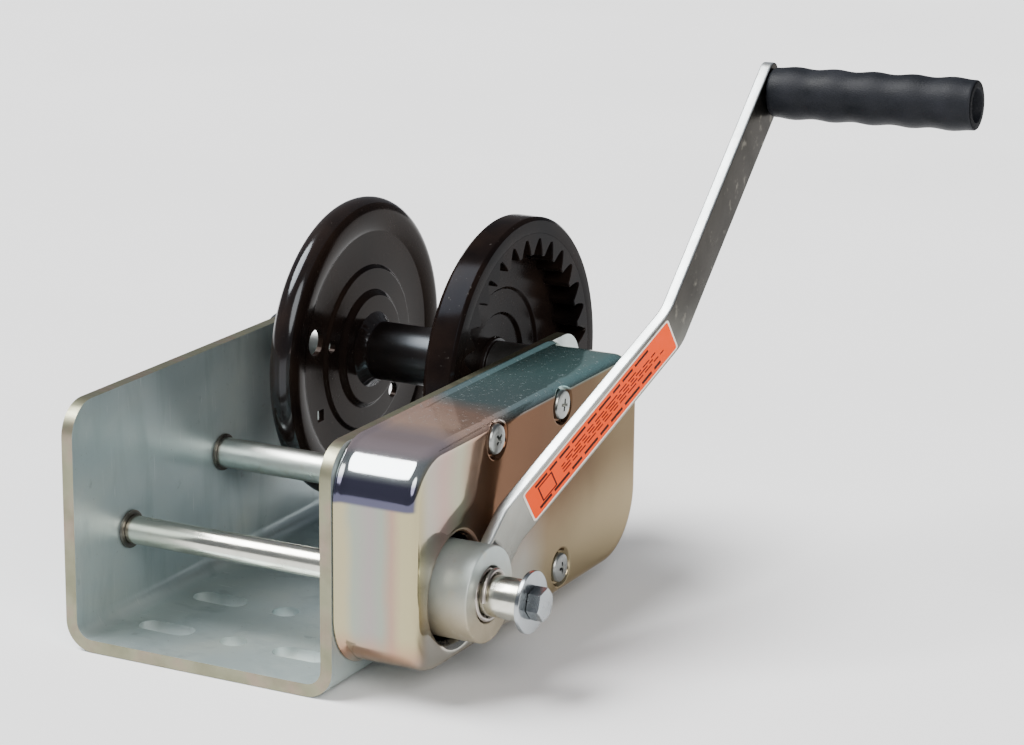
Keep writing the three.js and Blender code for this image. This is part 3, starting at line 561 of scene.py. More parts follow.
# ---- frame ----
def build_frame():
    h, inner, n = WIDTH / 2, BEND - PLATE, 14
    outline = (arc(-h + BEND, BEND, BEND, 180, 270, n)
               + arc(h - BEND, BEND, BEND, 270, 360, n)
               + [(h, HEIGHT), (h - PLATE, HEIGHT)]
               + arc(h - BEND, BEND, inner, 360, 270, n)
               + arc(-h + BEND, BEND, inner, 270, 180, n)
               + [(-h + PLATE, HEIGHT), (-h, HEIGHT)])
    half = LENGTH / 2
    verts = [(x, y, z) for y in (-half, half) for x, z in outline]
    body = make_object("frame_plate", verts, prism_faces(len(outline)))
    side = ([(-half, -1), (half, -1)] + arc(half - CORNER, HEIGHT - CORNER, CORNER, 0, 90, 14)
            + arc(-half + CORNER, HEIGHT - CORNER, CORNER, 90, 180, 14))
    carve(body, [prism("side", side, -h - 1, h + 1)], "INTERSECT")
    cuts = []
    for at, r in ((DRIVE, SHAFT_HOLE), (MID, SHAFT_HOLE), (REEL, REEL_HOLE)):
        for x0, x1 in ((-h - 1, -h + PLATE + 1), (h - PLATE - 1, h + 1)):
            cuts.append(rod("hole", r, x0, x1, at, 48, 0.01))
    cuts.append(rod("hole", FINAL_HOLE, INNER - 1, WALL + 1, FINAL, 48, 0.01))
    for y in SLOT_ROWS:
        for x, straight in ((-SLOT_X, SLOT_LEN - SLOT_W), (0, 0.02), (SLOT_X, SLOT_LEN - SLOT_W)):
            cuts.append(slot_cutter(x, y, straight))
    carve(body, cuts)
    add_bevel(body, 0.55, 3, 40)
    body.data.materials.append(ZINC)
    body.data.materials.append(EDGE)
    for poly in body.data.polygons:
        rim = abs(poly.center.y) > (half - CORNER - 1) * MM
        sheared = rim and abs(poly.normal.y) > 0.3 or (
            poly.normal.z > 0.3 and poly.center.z > (HEIGHT - CORNER) * MM)
        poly.material_index = 1 if sheared else 0
    return piece(body, "base", "frame_zinc", ZINC, "frame")


def slot_cutter(x, y, straight):
    r, s = SLOT_W / 2, straight / 2
    outline = arc(x + s, y, r, -90, 90, 18) + arc(x - s, y, r, 90, 270, 18)
    verts = [(a, b, z) for z in (-1, PLATE + 1) for a, b in outline]
    return make_object("slot", verts, prism_faces(len(outline)))


# ---- gear cover ----
def cover_ring(inset, steps=16, straights=(64, 20)):
    """Points of the cover's rounded rectangle, inset from its wall."""
    r, heel = max(COVER_R - inset, 0.5), max(COVER_HEEL - inset, 0.5)
    (y0, y1), (z0, z1) = COVER_Y, COVER_Z
    corners = [(y1 - inset - heel, z0 + inset + heel, 270, heel),
               (y1 - inset - r, z1 - inset - r, 0, r), (y0 + inset + r, z1 - inset - r, 90, r),
               (y0 + inset + r, z0 + inset + r, 180, r)]
    pts = []
    for i, (cy, cz, a, cr) in enumerate(corners):
        curve = arc(cy, cz, cr, a, a + 90, steps)
        pts += curve
        ny, nz, na, nr = corners[(i + 1) % 4]
        nxt = arc(ny, nz, nr, na, na + 90, 1)[0]
        count = straights[(i + 1) % 2]
        for k in range(1, count):
            t = k / count
            pts.append((curve[-1][0] * (1 - t) + nxt[0] * t, curve[-1][1] * (1 - t) + nxt[1] * t))
    return pts


def inset_of(y, z):
    """How far a point lies inside the cover's outline."""
    cy, cz = sum(COVER_Y) / 2, sum(COVER_Z) / 2
    r = COVER_HEEL if y > cy and z < cz else COVER_R
    qy = abs(y - cy) - (COVER_Y[1] - COVER_Y[0]) / 2 + r
    qz = abs(z - cz) - (COVER_Z[1] - COVER_Z[0]) / 2 + r
    return r - math.hypot(max(qy, 0), max(qz, 0)) - min(max(qy, qz), 0)


def smooth(t):
    """0 to 1 with soft ends."""
    t = min(max(t, 0.0), 1.0)
    return t * t * (3 - 2 * t)


def soft_min(a, b, k):
    """The smaller of a and b, blended where they are within k."""
    h = min(max(0.5 + 0.5 * (b - a) / k, 0), 1)
    return b + (a - b) * h - k * h * (1 - h)


# the rolled rim of the hub hole: its radii and the dish around it
ROLL_IN, ROLL_AT, ROLL_R, DISH_R, DISH_DEEP = 26, 31.2, 5.2, 44, 0.7
DIMPLE_R, DIMPLE_DEEP, DIMPLE_RISE = 8.2, 2.3, 3.0


def cover_height(y, z):
    """X of the cover's outer skin over a point of its face."""
    d = min(max(inset_of(y, z), 0), COVER_EDGE)
    x = COVER_X - COVER_EDGE + math.sqrt(max(COVER_EDGE ** 2 - (COVER_EDGE - d) ** 2, 0))
    r = math.hypot(y - DRIVE[0], z - DRIVE[1])
    if r < DISH_R:
        roll = math.sqrt(max(ROLL_R ** 2 - max(ROLL_AT - r, 0) ** 2, 0)) - ROLL_R
        x = min(x, COVER_X + roll - DISH_DEEP * (1 - smooth((r - ROLL_AT) / 12)))
    for sy, sz in SCREWS:
        r = math.hypot(y - sy, z - sz)
        if r < 16:
            ramp = DIMPLE_RISE * smooth((r - DIMPLE_R) / 2.6)
            x = soft_min(x, COVER_X - DIMPLE_DEEP + ramp, 0.5)
    return x


def build_cover():
    verts, faces = [], []
    base = WALL + 0.35
    walls = [(-1.6, base), (-1.8, base + 0.4), (-1.75, base + 1.0), (-1.3, base + 1.7),
             (-0.6, base + 2.4), (-0.15, base + 3.4), (0, base + 5)]
    walls += [(0, base + 5 + (COVER_X - COVER_EDGE - base - 5) * k / 8) for k in range(1, 9)]
    rings = []
    for inset, x in walls:
        ring = cover_ring(inset)
        rings.append(list(range(len(verts), len(verts) + len(ring))))
        verts += [(x, y, z) for y, z in ring]
    for a, b in zip(rings, rings[1:]):
        n = len(a)
        faces += [[a[k], a[(k + 1) % n], b[(k + 1) % n], b[k]] for k in range(n)]
    edge = cover_ring(0)
    points = list(edge)
    for inset in (0.1, 0.35, 0.8, 1.4, 2.1, 3.0, 4.0, 5.0, 5.8, 7.2, 9.5, 12):
        points += cover_ring(inset)
    # closer rings of points around the hub hole and the screw dimples
    keep_clear = []
    rings_at = [(DRIVE, (26.05, 26.2, 26.5, 26.9, 27.5, 28.2, 29.1, 30.1, 31.2, 32.6, 34.4,
                         36.6, 39.4, 42.4), 128)]
    rings_at += [(s, (3, 6, 7.8, 8.2, 8.7, 9.2, 9.7, 10.2, 10.7, 11.3, 12.2), 72)
                 for s in SCREWS]
    for at, radii, n in rings_at:
        keep_clear.append((at, radii[-1] + 0.8))
        points = [p for p in points if math.dist(p, at) > radii[-1] + 0.6 or p in edge]
        for i, r in enumerate(radii):
            for k in range(n):
                a = 2 * math.pi * (k + 0.5 * (i % 2)) / n
                p = (at[0] + r * math.cos(a), at[1] + r * math.sin(a))
                if inset_of(*p) > 0.08:
                    points.append(p)
    for iy in range(-24, 23):
        for iz in range(0, 27):
            p = (iy * 4.7 + 0.3, 20 + iz * 4.1)
            if inset_of(*p) > 13.5 and all(
                    math.hypot(p[0] - a[0], p[1] - a[1]) > r + 1.5 for a, r in keep_clear):
                points.append(p)
    coords = [Vector(p) for p in points]
    border = [(i, (i + 1) % len(edge)) for i in range(len(edge))]
    out, _, tris, source, _, _ = delaunay_2d_cdt(coords, border, [], 1, 1e-4)
    index = {}
    for i, p in enumerate(out):
        first = [s for s in source[i] if s < len(edge)]
        if first:
            index[i] = rings[-1][first[0]]
        else:
            index[i] = len(verts)
            verts.append((cover_height(p.x, p.y), p.x, p.y))
    for tri in tris:
        mid = sum((out[i] for i in tri), Vector((0, 0))) / 3
        if math.hypot(mid.x - DRIVE[0], mid.y - DRIVE[1]) > 25.9:
            faces.append([index[i] for i in tri])
    obj = make_object("gear_cover_shell", verts, faces, 80)
    turn_in_lip(obj)
    obj.data.shade_smooth()
    shell = obj.modifiers.new("sheet", "SOLIDIFY")
    shell.thickness = 1.8 * MM
    shell.offset = -1
    return piece(obj, "base", "cover_zinc", COVER, "gear_cover")


def turn_in_lip(obj):
    """Adds the lip turned in around the cover's hub hole, and faces its skin outwards."""
    bm = bmesh.new()
    bm.from_mesh(obj.data)

    def from_axis(v):
        return math.hypot(v.co.y / MM - DRIVE[0], v.co.z / MM - DRIVE[1])

    def turned(v):
        return math.atan2(v.co.z - DRIVE[1] * MM, v.co.y - DRIVE[0] * MM)

    # rows are made in order of angle, so that the mesh is the same on every run
    row = sorted((v for v in bm.verts if v.is_boundary and abs(from_axis(v) - ROLL_IN) < 0.4),
                 key=turned)
    for shrink, drop in ((0.05, 0.9), (0.05, 1.4)):
        lower = []
        for v in row:
            out_way = Vector((0, v.co.y - DRIVE[0] * MM, v.co.z - DRIVE[1] * MM)).normalized()
            lower.append(bm.verts.new(
                v.co - (out_way * shrink * MM + Vector((drop * MM, 0, 0)))))
        for k in range(len(row)):
            bm.faces.new((row[k - 1], row[k], lower[k], lower[k - 1]))
        row = lower
    bmesh.ops.recalc_face_normals(bm, faces=bm.faces)
    top = max(bm.faces, key=lambda f: f.calc_center_median().x)
    if top.normal.x < 0:
        bmesh.ops.reverse_faces(bm, faces=bm.faces)
    bm.to_mesh(obj.data)
    bm.free()


def cover_screw(index, at):
    """A low pan head with a cross recess, each turned its own way."""
    x = COVER_X - 2.2
    head = [(x, 0), (x, 7.0), (x + 0.5, 7.45), (x + 1.7, 7.5), (x + 2.7, 6.9), (x + 3.1, 5.2),
            (x + 3.3, 3.0), (x + 3.35, 0)]
    obj = lathe(f"cover_screw_head_{index}", fillet(head, 0.8, 3, closed=False), at, 64, 50)
    cuts = []
    for k in range(2):
        a = math.radians(20 + 37 * index + 90 * k)
        c, s = math.cos(a), math.sin(a)
        bar = [(-4.3, -0.95), (4.3, -0.95), (4.3, 0.95), (-4.3, 0.95)]
        flat = [(u * c - v * s, u * s + v * c) for u, v in bar]
        deep = [(u * 0.45 * c - v * 0.6 * s, u * 0.45 * s + v * 0.6 * c) for u, v in bar]
        verts = [(x + 5, at[0] + p[0], at[1] + p[1]) for p in flat]
        verts += [(x + 1.4, at[0] + p[0], at[1] + p[1]) for p in deep]
        faces = [[0, 1, 2, 3], [7, 6, 5, 4]] + [[i, 4 + i, 4 + (i + 1) % 4, (i + 1) % 4]
                                               for i in range(4)]
        cuts.append(make_object("cross", verts, faces))
    carve(obj, cuts)
    return piece(obj, "base", "fastener_zinc", SCREW_ZINC, f"cover_screw_{index}")


# ---- reel ----
def build_reel():
    x, r, roll, t = FLANGE_X, FLANGE_R, FLANGE_ROLL, FLANGE_T
    front = fillet([(-27.5, 15.5), (-27.5, 29), (-30.2, 31.5), (-30.2, 43), (-31.7, 44.5),
                    (-31.7, 62.5), (-30.15, 65.5)], 1.6, 4, closed=False)
    rear = fillet([(-33.1, 66.5), (-34.7, 63.5), (-34.7, 44), (-33.2, 42.5), (-33.2, 31),
                   (-30.5, 28.5), (-30.5, 15.5)], 1.6, 4, closed=False)
    profile = front + arc(x, r, roll, 0, 250, 30) + arc(x, r, roll - t, 250, 0, 22) + rear
    flange = lathe("reel_flange_left", profile, REEL, 144, 50)

    def polar(away, angle):
        a = math.radians(angle)
        return REEL[0] + away * math.cos(a), REEL[1] + away * math.sin(a)

    def hole(radius, away, angle):
        return rod("hole", radius, -40, -25, polar(away, angle), 40, 0.01)

    square = prism("notch", [(-3.1, -3.1), (3.1, -3.1), (3.1, 3.1), (-3.1, 3.1)], -40, -25,
                   polar(54, 208))
    carve(flange, [hole(7, 54, 164), hole(3.2, 39.5, 166), hole(4.2, 38, 311), square])
    add_bevel(flange, 0.35, 2, 50)
    flange.data.materials.clear()
    flange.data.materials.append(BLACK)
    flange.data.materials.append(RIM_BLACK)
    # the rolled rim takes the rim copy of the same paint: painted stronger, bluer highlights
    for poly in flange.data.polygons:
        away = math.hypot(poly.center.y - REEL[0] * MM, poly.center.z - REEL[1] * MM)
        outer = away > r * MM and poly.normal.x < 0.75 or poly.center.x < -0.0385
        poly.material_index = 1 if outer else 0
    piece(flange, "reel", "reel_black", BLACK, "reel_flange")

    tube = fillet([(-33, 12.3), (-33, 15.4), (46, 15.4), (46, 12.3)], 0.4, 3)
    # the tube takes the tube copy of the same paint: painted stronger, bluer highlights
    piece(lathe("reel_hub_tube", tube, REEL, 96), "reel", "reel_black", TUBE_BLACK, "reel_hub")
    bead = [(-27.6, 15.2), (-27.6, 20.2), (-26.4, 19.0), (-25.0, 17.2), (-23.6, 16.2),
            (-22.6, 15.2)]
    weld = lathe("reel_weld_left", bead, REEL, 120, 60)
    for v in weld.data.vertices:
        a = math.atan2(v.co.z - REEL[1] * MM, v.co.y - REEL[0] * MM)
        ripple = math.sin(31 * a + 2.1 * math.sin(5 * a)) * (0.6 + 0.4 * math.sin(3 * a + 1))
        v.co.x += 0.22 * MM * ripple * (1 if v.co.x > -0.0272 else 0)
    # the weld takes the rim copy of the paint: painted stronger highlights
    piece(weld, "reel", "reel_black", RIM_BLACK)

    disc = fillet([(63, 71), (63, 78.6), (61.3, 80.3), (48.6, 80.3), (46.8, 78.6), (44.5, 75.5),
                   (44.5, 42), (42.8, 40.5), (42.8, 28.5), (40.8, 27), (40.8, 15.5), (44.3, 15.5),
                   (44.3, 27.5), (46.3, 29), (46.3, 41), (48, 42.5), (48, 71)], 0.9, 4)
    ring = lathe("ring_gear_disc", disc, REEL, 144, 40)
    # the ring and its teeth take the blue-tinted copy of the paint: painted reflection colour
    piece(ring, "reel", "reel_black", RING_BLACK, "ring_gear")
    piece(ring_teeth(), "reel", "reel_black", RING_BLACK)


def ring_teeth():
    """The toothed band inside the ring gear; its spaces match the CAD ring."""
    base_r = RING_PITCH * math.cos(PRESSURE_ANGLE)

    def inv(a):
        return math.tan(a) - a

    def half(r):
        a = math.acos(min(base_r / r, 1))
        return (math.pi / (2 * RING_TEETH) + RING_PLAY / (2 * RING_PITCH)
                + inv(PRESSURE_ANGLE) - inv(a))

    radii = [RING_TIP + (RING_ROOT - RING_TIP) * k / 7 for k in range(8)]
    phase = ring_phase()
    inner = []
    for i in range(RING_TEETH):
        c = phase + 2 * math.pi * i / RING_TEETH
        pts = [(r, c - half(r)) for r in radii] + [(r, c + half(r)) for r in reversed(radii)]
        inner += [(r * math.cos(a), r * math.sin(a)) for r, a in pts]
    inner = fillet(inner, 0.9, 2)
    n = len(inner)
    outer = [tuple(Vector(p).normalized() * RING_BACK) for p in inner]
    verts, faces = [], []
    shrunk = []
    for i, p in enumerate(inner):
        a, b = Vector(inner[i - 1]), Vector(inner[(i + 1) % n])
        way = (b - a).normalized()
        shrunk.append(tuple(Vector(p) + Vector((way.y, -way.x)) * RING_CHAMFER))
    x0, x1 = RING_X
    layers = [(x1, outer), (x1, shrunk), (x1 - RING_CHAMFER, inner), (x0, inner), (x0, outer)]
    for x, loop in layers:
        verts += [(x, REEL[0] + p[0], REEL[1] + p[1]) for p in loop]
    for k in range(len(layers)):
        a, b = k * n, ((k + 1) % len(layers)) * n
        faces += [[a + i, a + (i + 1) % n, b + (i + 1) % n, b + i] for i in range(n)]
    return make_object("ring_gear_teeth", verts, faces, 35)


def ring_phase():
    """Angle of one tooth space of the ring, carried through the train from the drive shaft."""
    def heading(a, b):
        return math.atan2(b[1] - a[1], b[0] - a[0])

    def mate(p1, z1, at1, z2, at2):
        t = heading(at1, at2)
        return t + math.pi - (p1 - t) * z1 / z2 + math.pi / z2

    idler = mate(DRIVE_PHASE, DRIVE_PINION, DRIVE, IDLER_TEETH, IDLER)
    mid = mate(idler, IDLER_TEETH, IDLER, MID_GEAR, MID)
    final = mate(mid, MID_PINION, MID, FINAL_GEAR, FINAL)
    t = heading(REEL, FINAL)
    return t + (final - t) * FINAL_PINION / RING_TEETH


# ---- crank ----
def arm_point(s, x, v):
    """Along the tilted arm, along X, and across it, to the row frame."""
    return (x, DRIVE[0] + s * math.sin(TILT) + v * math.cos(TILT),
            DRIVE[1] + s * math.cos(TILT) - v * math.sin(TILT))


def knee():
    return ARM_BENDS[1], ARM_X + ARM_T / 2 + ARM_RISE


def arm_path():
    """Middle line of the bar as (s, x, distance left to the tip)."""
    mid, (s1, x1), run = ARM_X + ARM_T / 2, knee(), PIN_RUN + TIP_RUN
    end = (s1 + run * math.cos(LEAN), x1 - run * math.sin(LEAN))
    pts = fillet([(17, mid), (ARM_BENDS[0], mid), (s1, x1), end], 34, 10, closed=False)
    dense = []
    for a, b in zip(pts, pts[1:]):
        count = max(1, int(math.dist(a, b) / 7))
        dense += [(a[0] + (b[0] - a[0]) * k / count, a[1] + (b[1] - a[1]) * k / count)
                  for k in range(count)]
    path = [(*p, math.dist(p, end)) for p in dense if math.dist(p, end) > TIP_R + 0.5]
    for a in range(90, -1, -9):
        left = TIP_R - TIP_R * math.cos(math.radians(a))
        path.append((end[0] - left * math.cos(LEAN), end[1] + left * math.sin(LEAN), left))
    return path


def build_arm():
    """The flat bar, swept along its bent middle line, with a lighter copy of its zinc on the rims
    as painted highlight.
    """
    path = arm_path()
    verts, faces = [], []
    corner = 0.9
    for i, (s, x, left) in enumerate(path):
        a, b = path[max(i - 1, 0)], path[min(i + 1, len(path) - 1)]
        way = (Vector(b[:2]) - Vector(a[:2])).normalized()
        normal = Vector((-way.y, way.x))
        half, ht = ARM_W / 2, ARM_T / 2
        if left < TIP_R:
            half += math.sqrt(max(TIP_R ** 2 - (TIP_R - left) ** 2, 0)) - TIP_R
        if left < corner:
            ht -= 0.5 * (corner - left)
        box = fillet([(-half, -ht), (half, -ht), (half, ht), (-half, ht)], corner, 3)
        for v, h in box:
            verts.append(arm_point(s + normal.x * h, x + normal.y * h, v))
    n = len(box)
    for i in range(len(path) - 1):
        faces += [[i * n + k, i * n + (k + 1) % n, (i + 1) * n + (k + 1) % n, (i + 1) * n + k]
                  for k in range(n)]
    faces += [list(range(n)), list(range(len(verts) - 1, len(verts) - 1 - n, -1))]
    bar = make_object("crank_bar", verts, faces, 40)
    bar.data.materials.append(ARM_ZINC)
    bar.data.materials.append(ARM_RIM)
    across = Vector((0, math.cos(TILT), -math.sin(TILT)))
    # the narrow rims take the lighter copy: painted highlight
    for poly in bar.data.polygons:
        poly.material_index = 1 if abs(poly.normal.dot(across)) > 0.45 else 0
    piece(bar, "crank", "crank_zinc", ARM_ZINC, "crank_arm")


def build_arm_weld():
    """A fillet bead where the bar leaves the hub: rows around the hub, columns across."""
    verts, faces = [], []
    rows, cols = 40, 10
    x0 = ARM_X + ARM_T

    def place(i):
        u = -1 + 2 * i / rows
        return u, math.pi / 2 - TILT + u * math.radians(29)

    for i in range(rows + 1):
        u, a = place(i)
        fade = math.sqrt(max(1 - abs(u) ** 5, 0.03))
        for k in range(cols + 1):
            t = k / cols
            run = 6.2 * fade * (1 + 0.05 * math.sin(17 * u))
            r = HUB_R - 0.3 + run * (1 - t) ** 1.8
            x = x0 - 0.3 + (3.1 * fade + 0.3) * t ** 1.6
            verts.append((x, DRIVE[0] + r * math.cos(a), DRIVE[1] + r * math.sin(a)))
    for i in range(rows):
        for k in range(cols):
            a = i * (cols + 1) + k
            faces.append([a, a + 1, a + cols + 2, a + cols + 1])
    ends = []
    for i in range(rows + 1):
        a = place(i)[1]
        ends.append(len(verts))
        verts.append((x0 - 1.2, DRIVE[0] + (HUB_R - 1) * math.cos(a),
                      DRIVE[1] + (HUB_R - 1) * math.sin(a)))
    for i in range(rows):
        a, b = i * (cols + 1), (i + 1) * (cols + 1)
        faces.append([a, b, ends[i + 1], ends[i]])
        faces.append([a + cols, ends[i], ends[i + 1], b + cols])
    faces.append(list(range(cols + 1)) + [ends[0]])
    last = rows * (cols + 1)
    faces.append([last + k for k in reversed(range(cols + 1))] + [ends[-1]])
    piece(make_object("crank_weld", verts, faces, 60), "crank", "crank_zinc", ARM_ZINC)


def build_label():
    """A plain film with rows of plain dashes in place of any print."""
    outer = ARM_X + ARM_T / 2 + ARM_T / 2 / math.cos(ARM_SLOPE)

    def face(s):
        return outer + (s - ARM_BENDS[0]) * math.tan(ARM_SLOPE)

    def sheet(name, s0, s1, v0, v1, low, high, r=2.0):
        rim = fillet([(v0, s0), (v1, s0), (v1, s1), (v0, s1)], r, 6)
        verts = [arm_point(s, face(s) + h, v) for h in (low, high) for v, s in rim]
        return make_object(name, verts, prism_faces(len(rim)), 40)

    s0, s1 = LABEL_S
    w = LABEL_W / 2
    piece(sheet("label_border", s0, s1, -w, w, 0.02, 0.26), "crank", "label_film", PALE,
          "arm_label")
    piece(sheet("label_field", s0 + 1, s1 - 1, -w + 1, w - 1, 0.1, 0.34, 1.4), "crank",
          "label_film", ORANGE)
    # each row of dashes: place across, start, stop, height, length, gap
    rows = [(6.6, 6, 100, 1.7, 9, 2.2), (2.6, 26, 104, 0.8, 5, 1.5), (0.6, 26, 96, 0.8, 6, 1.5),
            (-1.4, 26, 101, 0.8, 4, 1.5), (-3.4, 30, 84, 0.8, 7, 1.5), (-7.0, 8, 98, 1.5, 8, 2.0)]
    count = 0
    for row, (v, start, stop, thick, run, gap) in enumerate(rows):
        s = start
        while s < stop:
            count += 1
            length = run * (0.7 + 0.6 * ((count * 7 + row * 3) % 5) / 4)
            piece(sheet(f"label_dash_{count}", s0 + s, s0 + min(s + length, stop + 2),
                        v - thick / 2, v + thick / 2, 0.3, 0.39, 0.15),
                  "crank", "label_film", PRINT)
            s += length + gap
    for i, (a, b, low, high) in enumerate([(9, 20, -5.2, -4.4), (9, 20, 4.4, 5.2),
                                           (9, 9.8, -4.4, 4.4), (19.2, 20, -4.4, 4.4)]):
        piece(sheet(f"label_mark_{i + 1}", s0 + a, s0 + b, low, high, 0.3, 0.39, 0.15),
              "crank", "label_film", PRINT)


def build_hub():
    x0, x1 = HUB_X
    profile = fillet([(x0, 7.6), (x0, HUB_R), (x1, HUB_R), (x1, HUB_BORE), (119.5, HUB_BORE),
                      (119.5, 7.6)], 0.9, 4)
    piece(lathe("hub_barrel", profile, DRIVE, 144, 40), "crank", "crank_zinc", HUB_ZINC,
          "handle_hub")
    turns, per = 3.5, 36
    count = int(turns * per)
    path = [(121.5 + 14.5 * i / count,
             DRIVE[0] + 11.9 * math.cos(2 * math.pi * i / per),
             DRIVE[1] + 11.9 * math.sin(2 * math.pi * i / per)) for i in range(count + 1)]
    piece(sweep("hub_coil", path, 1.25), "crank", "spring_steel", SPRING, "hub_spring")
    piece(pipe("end_spacer", 10, 6.8, 120, 153, DRIVE, 96, 0.5), "crank", "shaft_steel",
          ROD_ZINC, "end_sleeve")
    piece(pipe("end_disc", 15, 4.3, 153.4, 155.8, DRIVE, 128, 0.5), "crank", "fastener_zinc",
          FAST_ZINC, "end_washer")
    head = prism("end_screw", hexagon(8.1, 12), 156.1, 162.4, DRIVE)
    trim = lathe("trim", [(155, 0), (155, 10), (161.2, 10), (162.5, 7), (162.5, 0)], DRIVE, 96)
    carve(head, [trim], "INTERSECT")
    add_bevel(head, 0.25, 2, 25)
    piece(head, "crank", "fastener_zinc", FAST_ZINC, "end_bolt")


def on_grip_axis(obj):
    """Moves a mesh drawn about X, with x = 0 on the arm's outer face, onto the grip's axis."""
    (s, x), half = knee(), ARM_T / 2
    cos, sin = math.cos(LEAN), math.sin(LEAN)
    at = arm_point(s + PIN_RUN * cos + half * sin, x - PIN_RUN * sin + half * cos, 0)
    axis = Vector((cos, sin * math.sin(TILT), sin * math.cos(TILT)))
    across = Vector((0, math.cos(TILT), -math.sin(TILT)))
    turn = Matrix((axis, across, axis.cross(across))).transposed().to_4x4()
    obj.data.transform(Matrix.Translation(Vector(at) * MM) @ turn)
    return obj


def build_grip():
    """The sleeve with its finger waves and its end face painted darker as shade, and the pin that
    it turns on.
    """
    (x0, x1), r, n, floor = GRIP_X, GRIP_R, 90, GRIP_X[1] - GRIP_RECESS
    outer = [(x0 + 2 + (x1 - x0 - 4) * i / n,
              r - 0.07 - 0.45 * math.cos(i / n * GRIP_WAVES * 2 * math.pi))
             for i in range(n + 1)]
    inner = [(x1 - 0.9, r - 0.55), (x1 - 0.3, r - 0.9), (x1, r - 1.6), (x1, 9.0),
             (x1 - 0.5, 8.7), (floor, 8.6), (floor, 5.3), (x0, 5.3), (x0, r - 2.2),
             (x0 + 0.6, r - 1.1)]
    sleeve = lathe("grip_sleeve", outer + inner, (0, 0), 96, 50)
    sleeve.data.materials.append(RUBBER)
    sleeve.data.materials.append(END_RUBBER)
    # the end faces take the darker copy: painted shade
    for poly in sleeve.data.polygons:
        if poly.normal.x > 0.55:
            poly.material_index = 1
    piece(on_grip_axis(sleeve), "grip", "grip_rubber", RUBBER, "hand_grip")
    pin = fillet([(-ARM_T, 0), (-ARM_T, 4.9), (101.3, 4.9), (101.3, 8), (103.6, 7.2),
                  (104.3, 4.5), (104.3, 0)], 0.8, 3, closed=False)
    piece(on_grip_axis(lathe("grip_rivet", pin, (0, 0), 64)), "crank", "fastener_zinc",
          FAST_ZINC, "grip_pin")


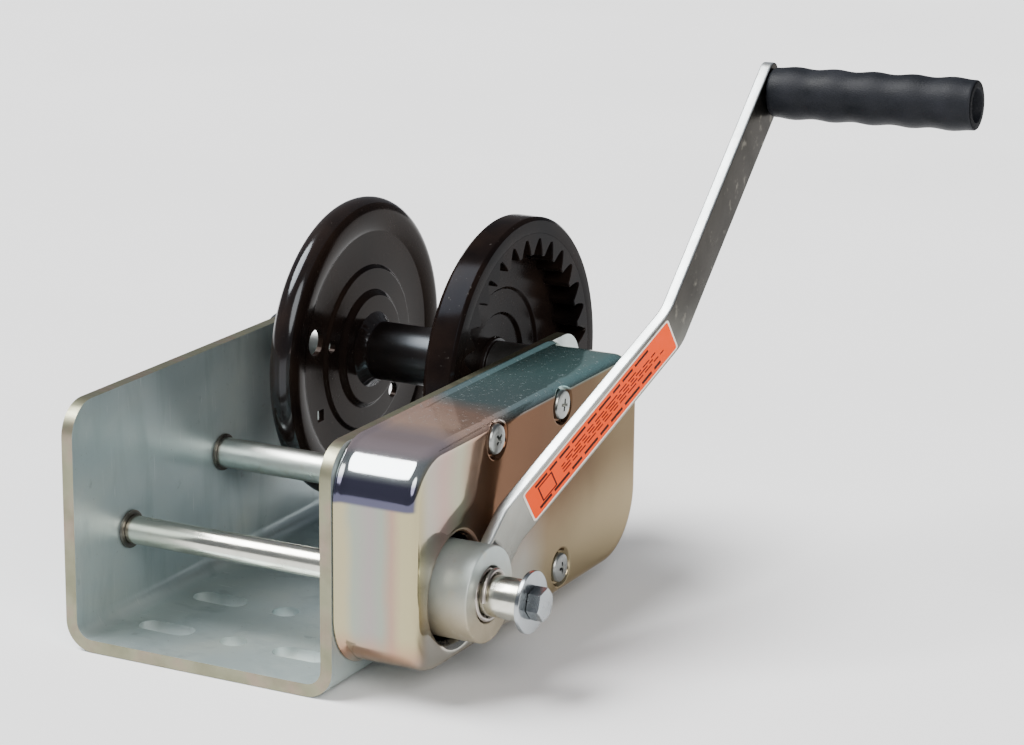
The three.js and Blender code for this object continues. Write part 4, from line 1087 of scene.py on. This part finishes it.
# ---- shafts, bushings, reel bolt ----
def build_shafts():
    drive = fillet([(-84, 0), (-84, 7.15), (-79, 7.15), (-79, 6.2), (-77.4, 6.2), (-77.4, 7.15),
                    (119, 7.15), (119, 6.5), (152.4, 6.5), (152.4, 0)], 0.5, 3, closed=False)
    piece(lathe("drive_rod", drive, DRIVE), "crank", "shaft_steel", ROD_ZINC)
    mid = fillet([(-84, 0), (-84, 7.85), (-79, 7.85), (-79, 6.8), (-77.4, 6.8), (-77.4, 7.85),
                  (104, 7.85), (104, 6.8), (105.8, 6.8), (105.8, 7.85), (107, 7.85), (107, 0)],
                 0.5, 3, closed=False)
    piece(lathe("mid_rod", mid, MID), "mid", "shaft_steel", TUBE_ZINC, "mid_shaft")
    for name, at, r in (("drive", DRIVE, 7.3), ("mid", MID, 8.0)):
        for side, sign in (("left", -1), ("right", 1)):
            profile = [(sign * INNER, 8.9), (sign * WALL, 8.9), (sign * WALL, r),
                       (sign * (INNER - 1.7), r), (sign * (INNER - 1.7), 9.6),
                       (sign * (INNER - 0.2), 9.6), (sign * (INNER - 0.2), 8.9)]
            piece(lathe(f"{name}_bush_{side}", fillet(profile, 0.3, 2), at, 72), "base",
                  "bushing_bronze", BRONZE, f"{name}_bushing_{side}")
    bolt = fillet([(-89, 0), (-89, 7.9), (-74.8, 7.9), (-74.8, 9.5), (75.2, 9.5), (75.2, 12.9),
                   (81, 12.9), (84, 10.5), (84, 0)], 0.6, 3, closed=False)
    piece(lathe("reel_axle", bolt, REEL), "base", "fastener_zinc", FAST_ZINC, "reel_bolt")
    piece(pipe("reel_axle_washer", 15, 8.2, -77.6, -75.1, REEL), "base", "fastener_zinc",
          FAST_ZINC, "reel_washer")
    nut = prism("reel_axle_nut", hexagon(14, 8), -87.4, -77.8, REEL)
    bore = rod("bore", 8.15, -100, -70, REEL, 64, 0.01)
    trim = lathe("trim", [(-88.5, 0), (-87.8, 11.6), (-85.8, 14.9), (-79, 14.9), (-77.4, 12.3),
                          (-77, 0)], REEL, 96)
    carve(nut, [trim], "INTERSECT")
    carve(nut, [bore])
    add_bevel(nut, 0.3, 2, 25)
    piece(nut, "base", "fastener_zinc", FAST_ZINC, "reel_nut")
    for name, x0, x1 in (("left", -68.6, -33.4), ("right", 46.5, 68.6)):
        piece(pipe(f"reel_collar_{name}", 14, 9.75, x0, x1, REEL), "base", "inner_steel", STEEL,
              f"reel_spacer_{name}")


def dress_inner_nodes():
    """CAD nodes that stay: hidden gears, brake parts, clips and posts."""
    looks = {"inner_steel": STEEL, "spring_steel": SPRING, "shaft_steel": STEEL,
             "bushing_bronze": BRONZE, "brake_lining": LINING, "fastener_zinc": FAST_ZINC}
    slots = {s["node"]: s["material_slot"] for s in frame["record"]["subparts"]}
    for name, node in frame["nodes"].items():
        look = looks.get(slots.get(name))
        if look is None or not node.data.materials:
            continue
        for i in range(len(node.data.materials)):
            node.data.materials[i] = look


# ---- lights, floor, world ----
def sun(name, toward, strength, spread, color):
    """A far soft light that comes from the direction toward."""
    light = bpy.data.objects.new(name, bpy.data.lights.new(name, "SUN"))
    light.data.energy = strength
    light.data.angle = math.radians(spread)
    light.data.color = color
    light.matrix_world = Vector(toward).to_track_quat("Z", "Y").to_matrix().to_4x4()
    bpy.context.scene.collection.objects.link(light)


def add_stage():
    bpy.ops.mesh.primitive_plane_add(size=FLOOR_SIZE, location=FLOOR_AT)
    floor = bpy.context.object
    floor.name = "floor"
    floor.data.materials.append(plain_floor())
    world = bpy.data.worlds.new("studio")
    bpy.context.scene.world = world
    world.use_nodes = True
    sky = world.node_tree.nodes["Background"]
    sky.inputs["Color"].default_value = SKY_COLOR
    sky.inputs["Strength"].default_value = SKY_STRENGTH
    for light in LIGHTS:
        sun(*light)


add_camera()
build_frame()
build_cover()
for number, place in enumerate(SCREWS, 1):
    cover_screw(number, place)
build_reel()
build_arm()
build_arm_weld()
build_label()
build_hub()
build_grip()
build_shafts()
dress_inner_nodes()
add_stage()
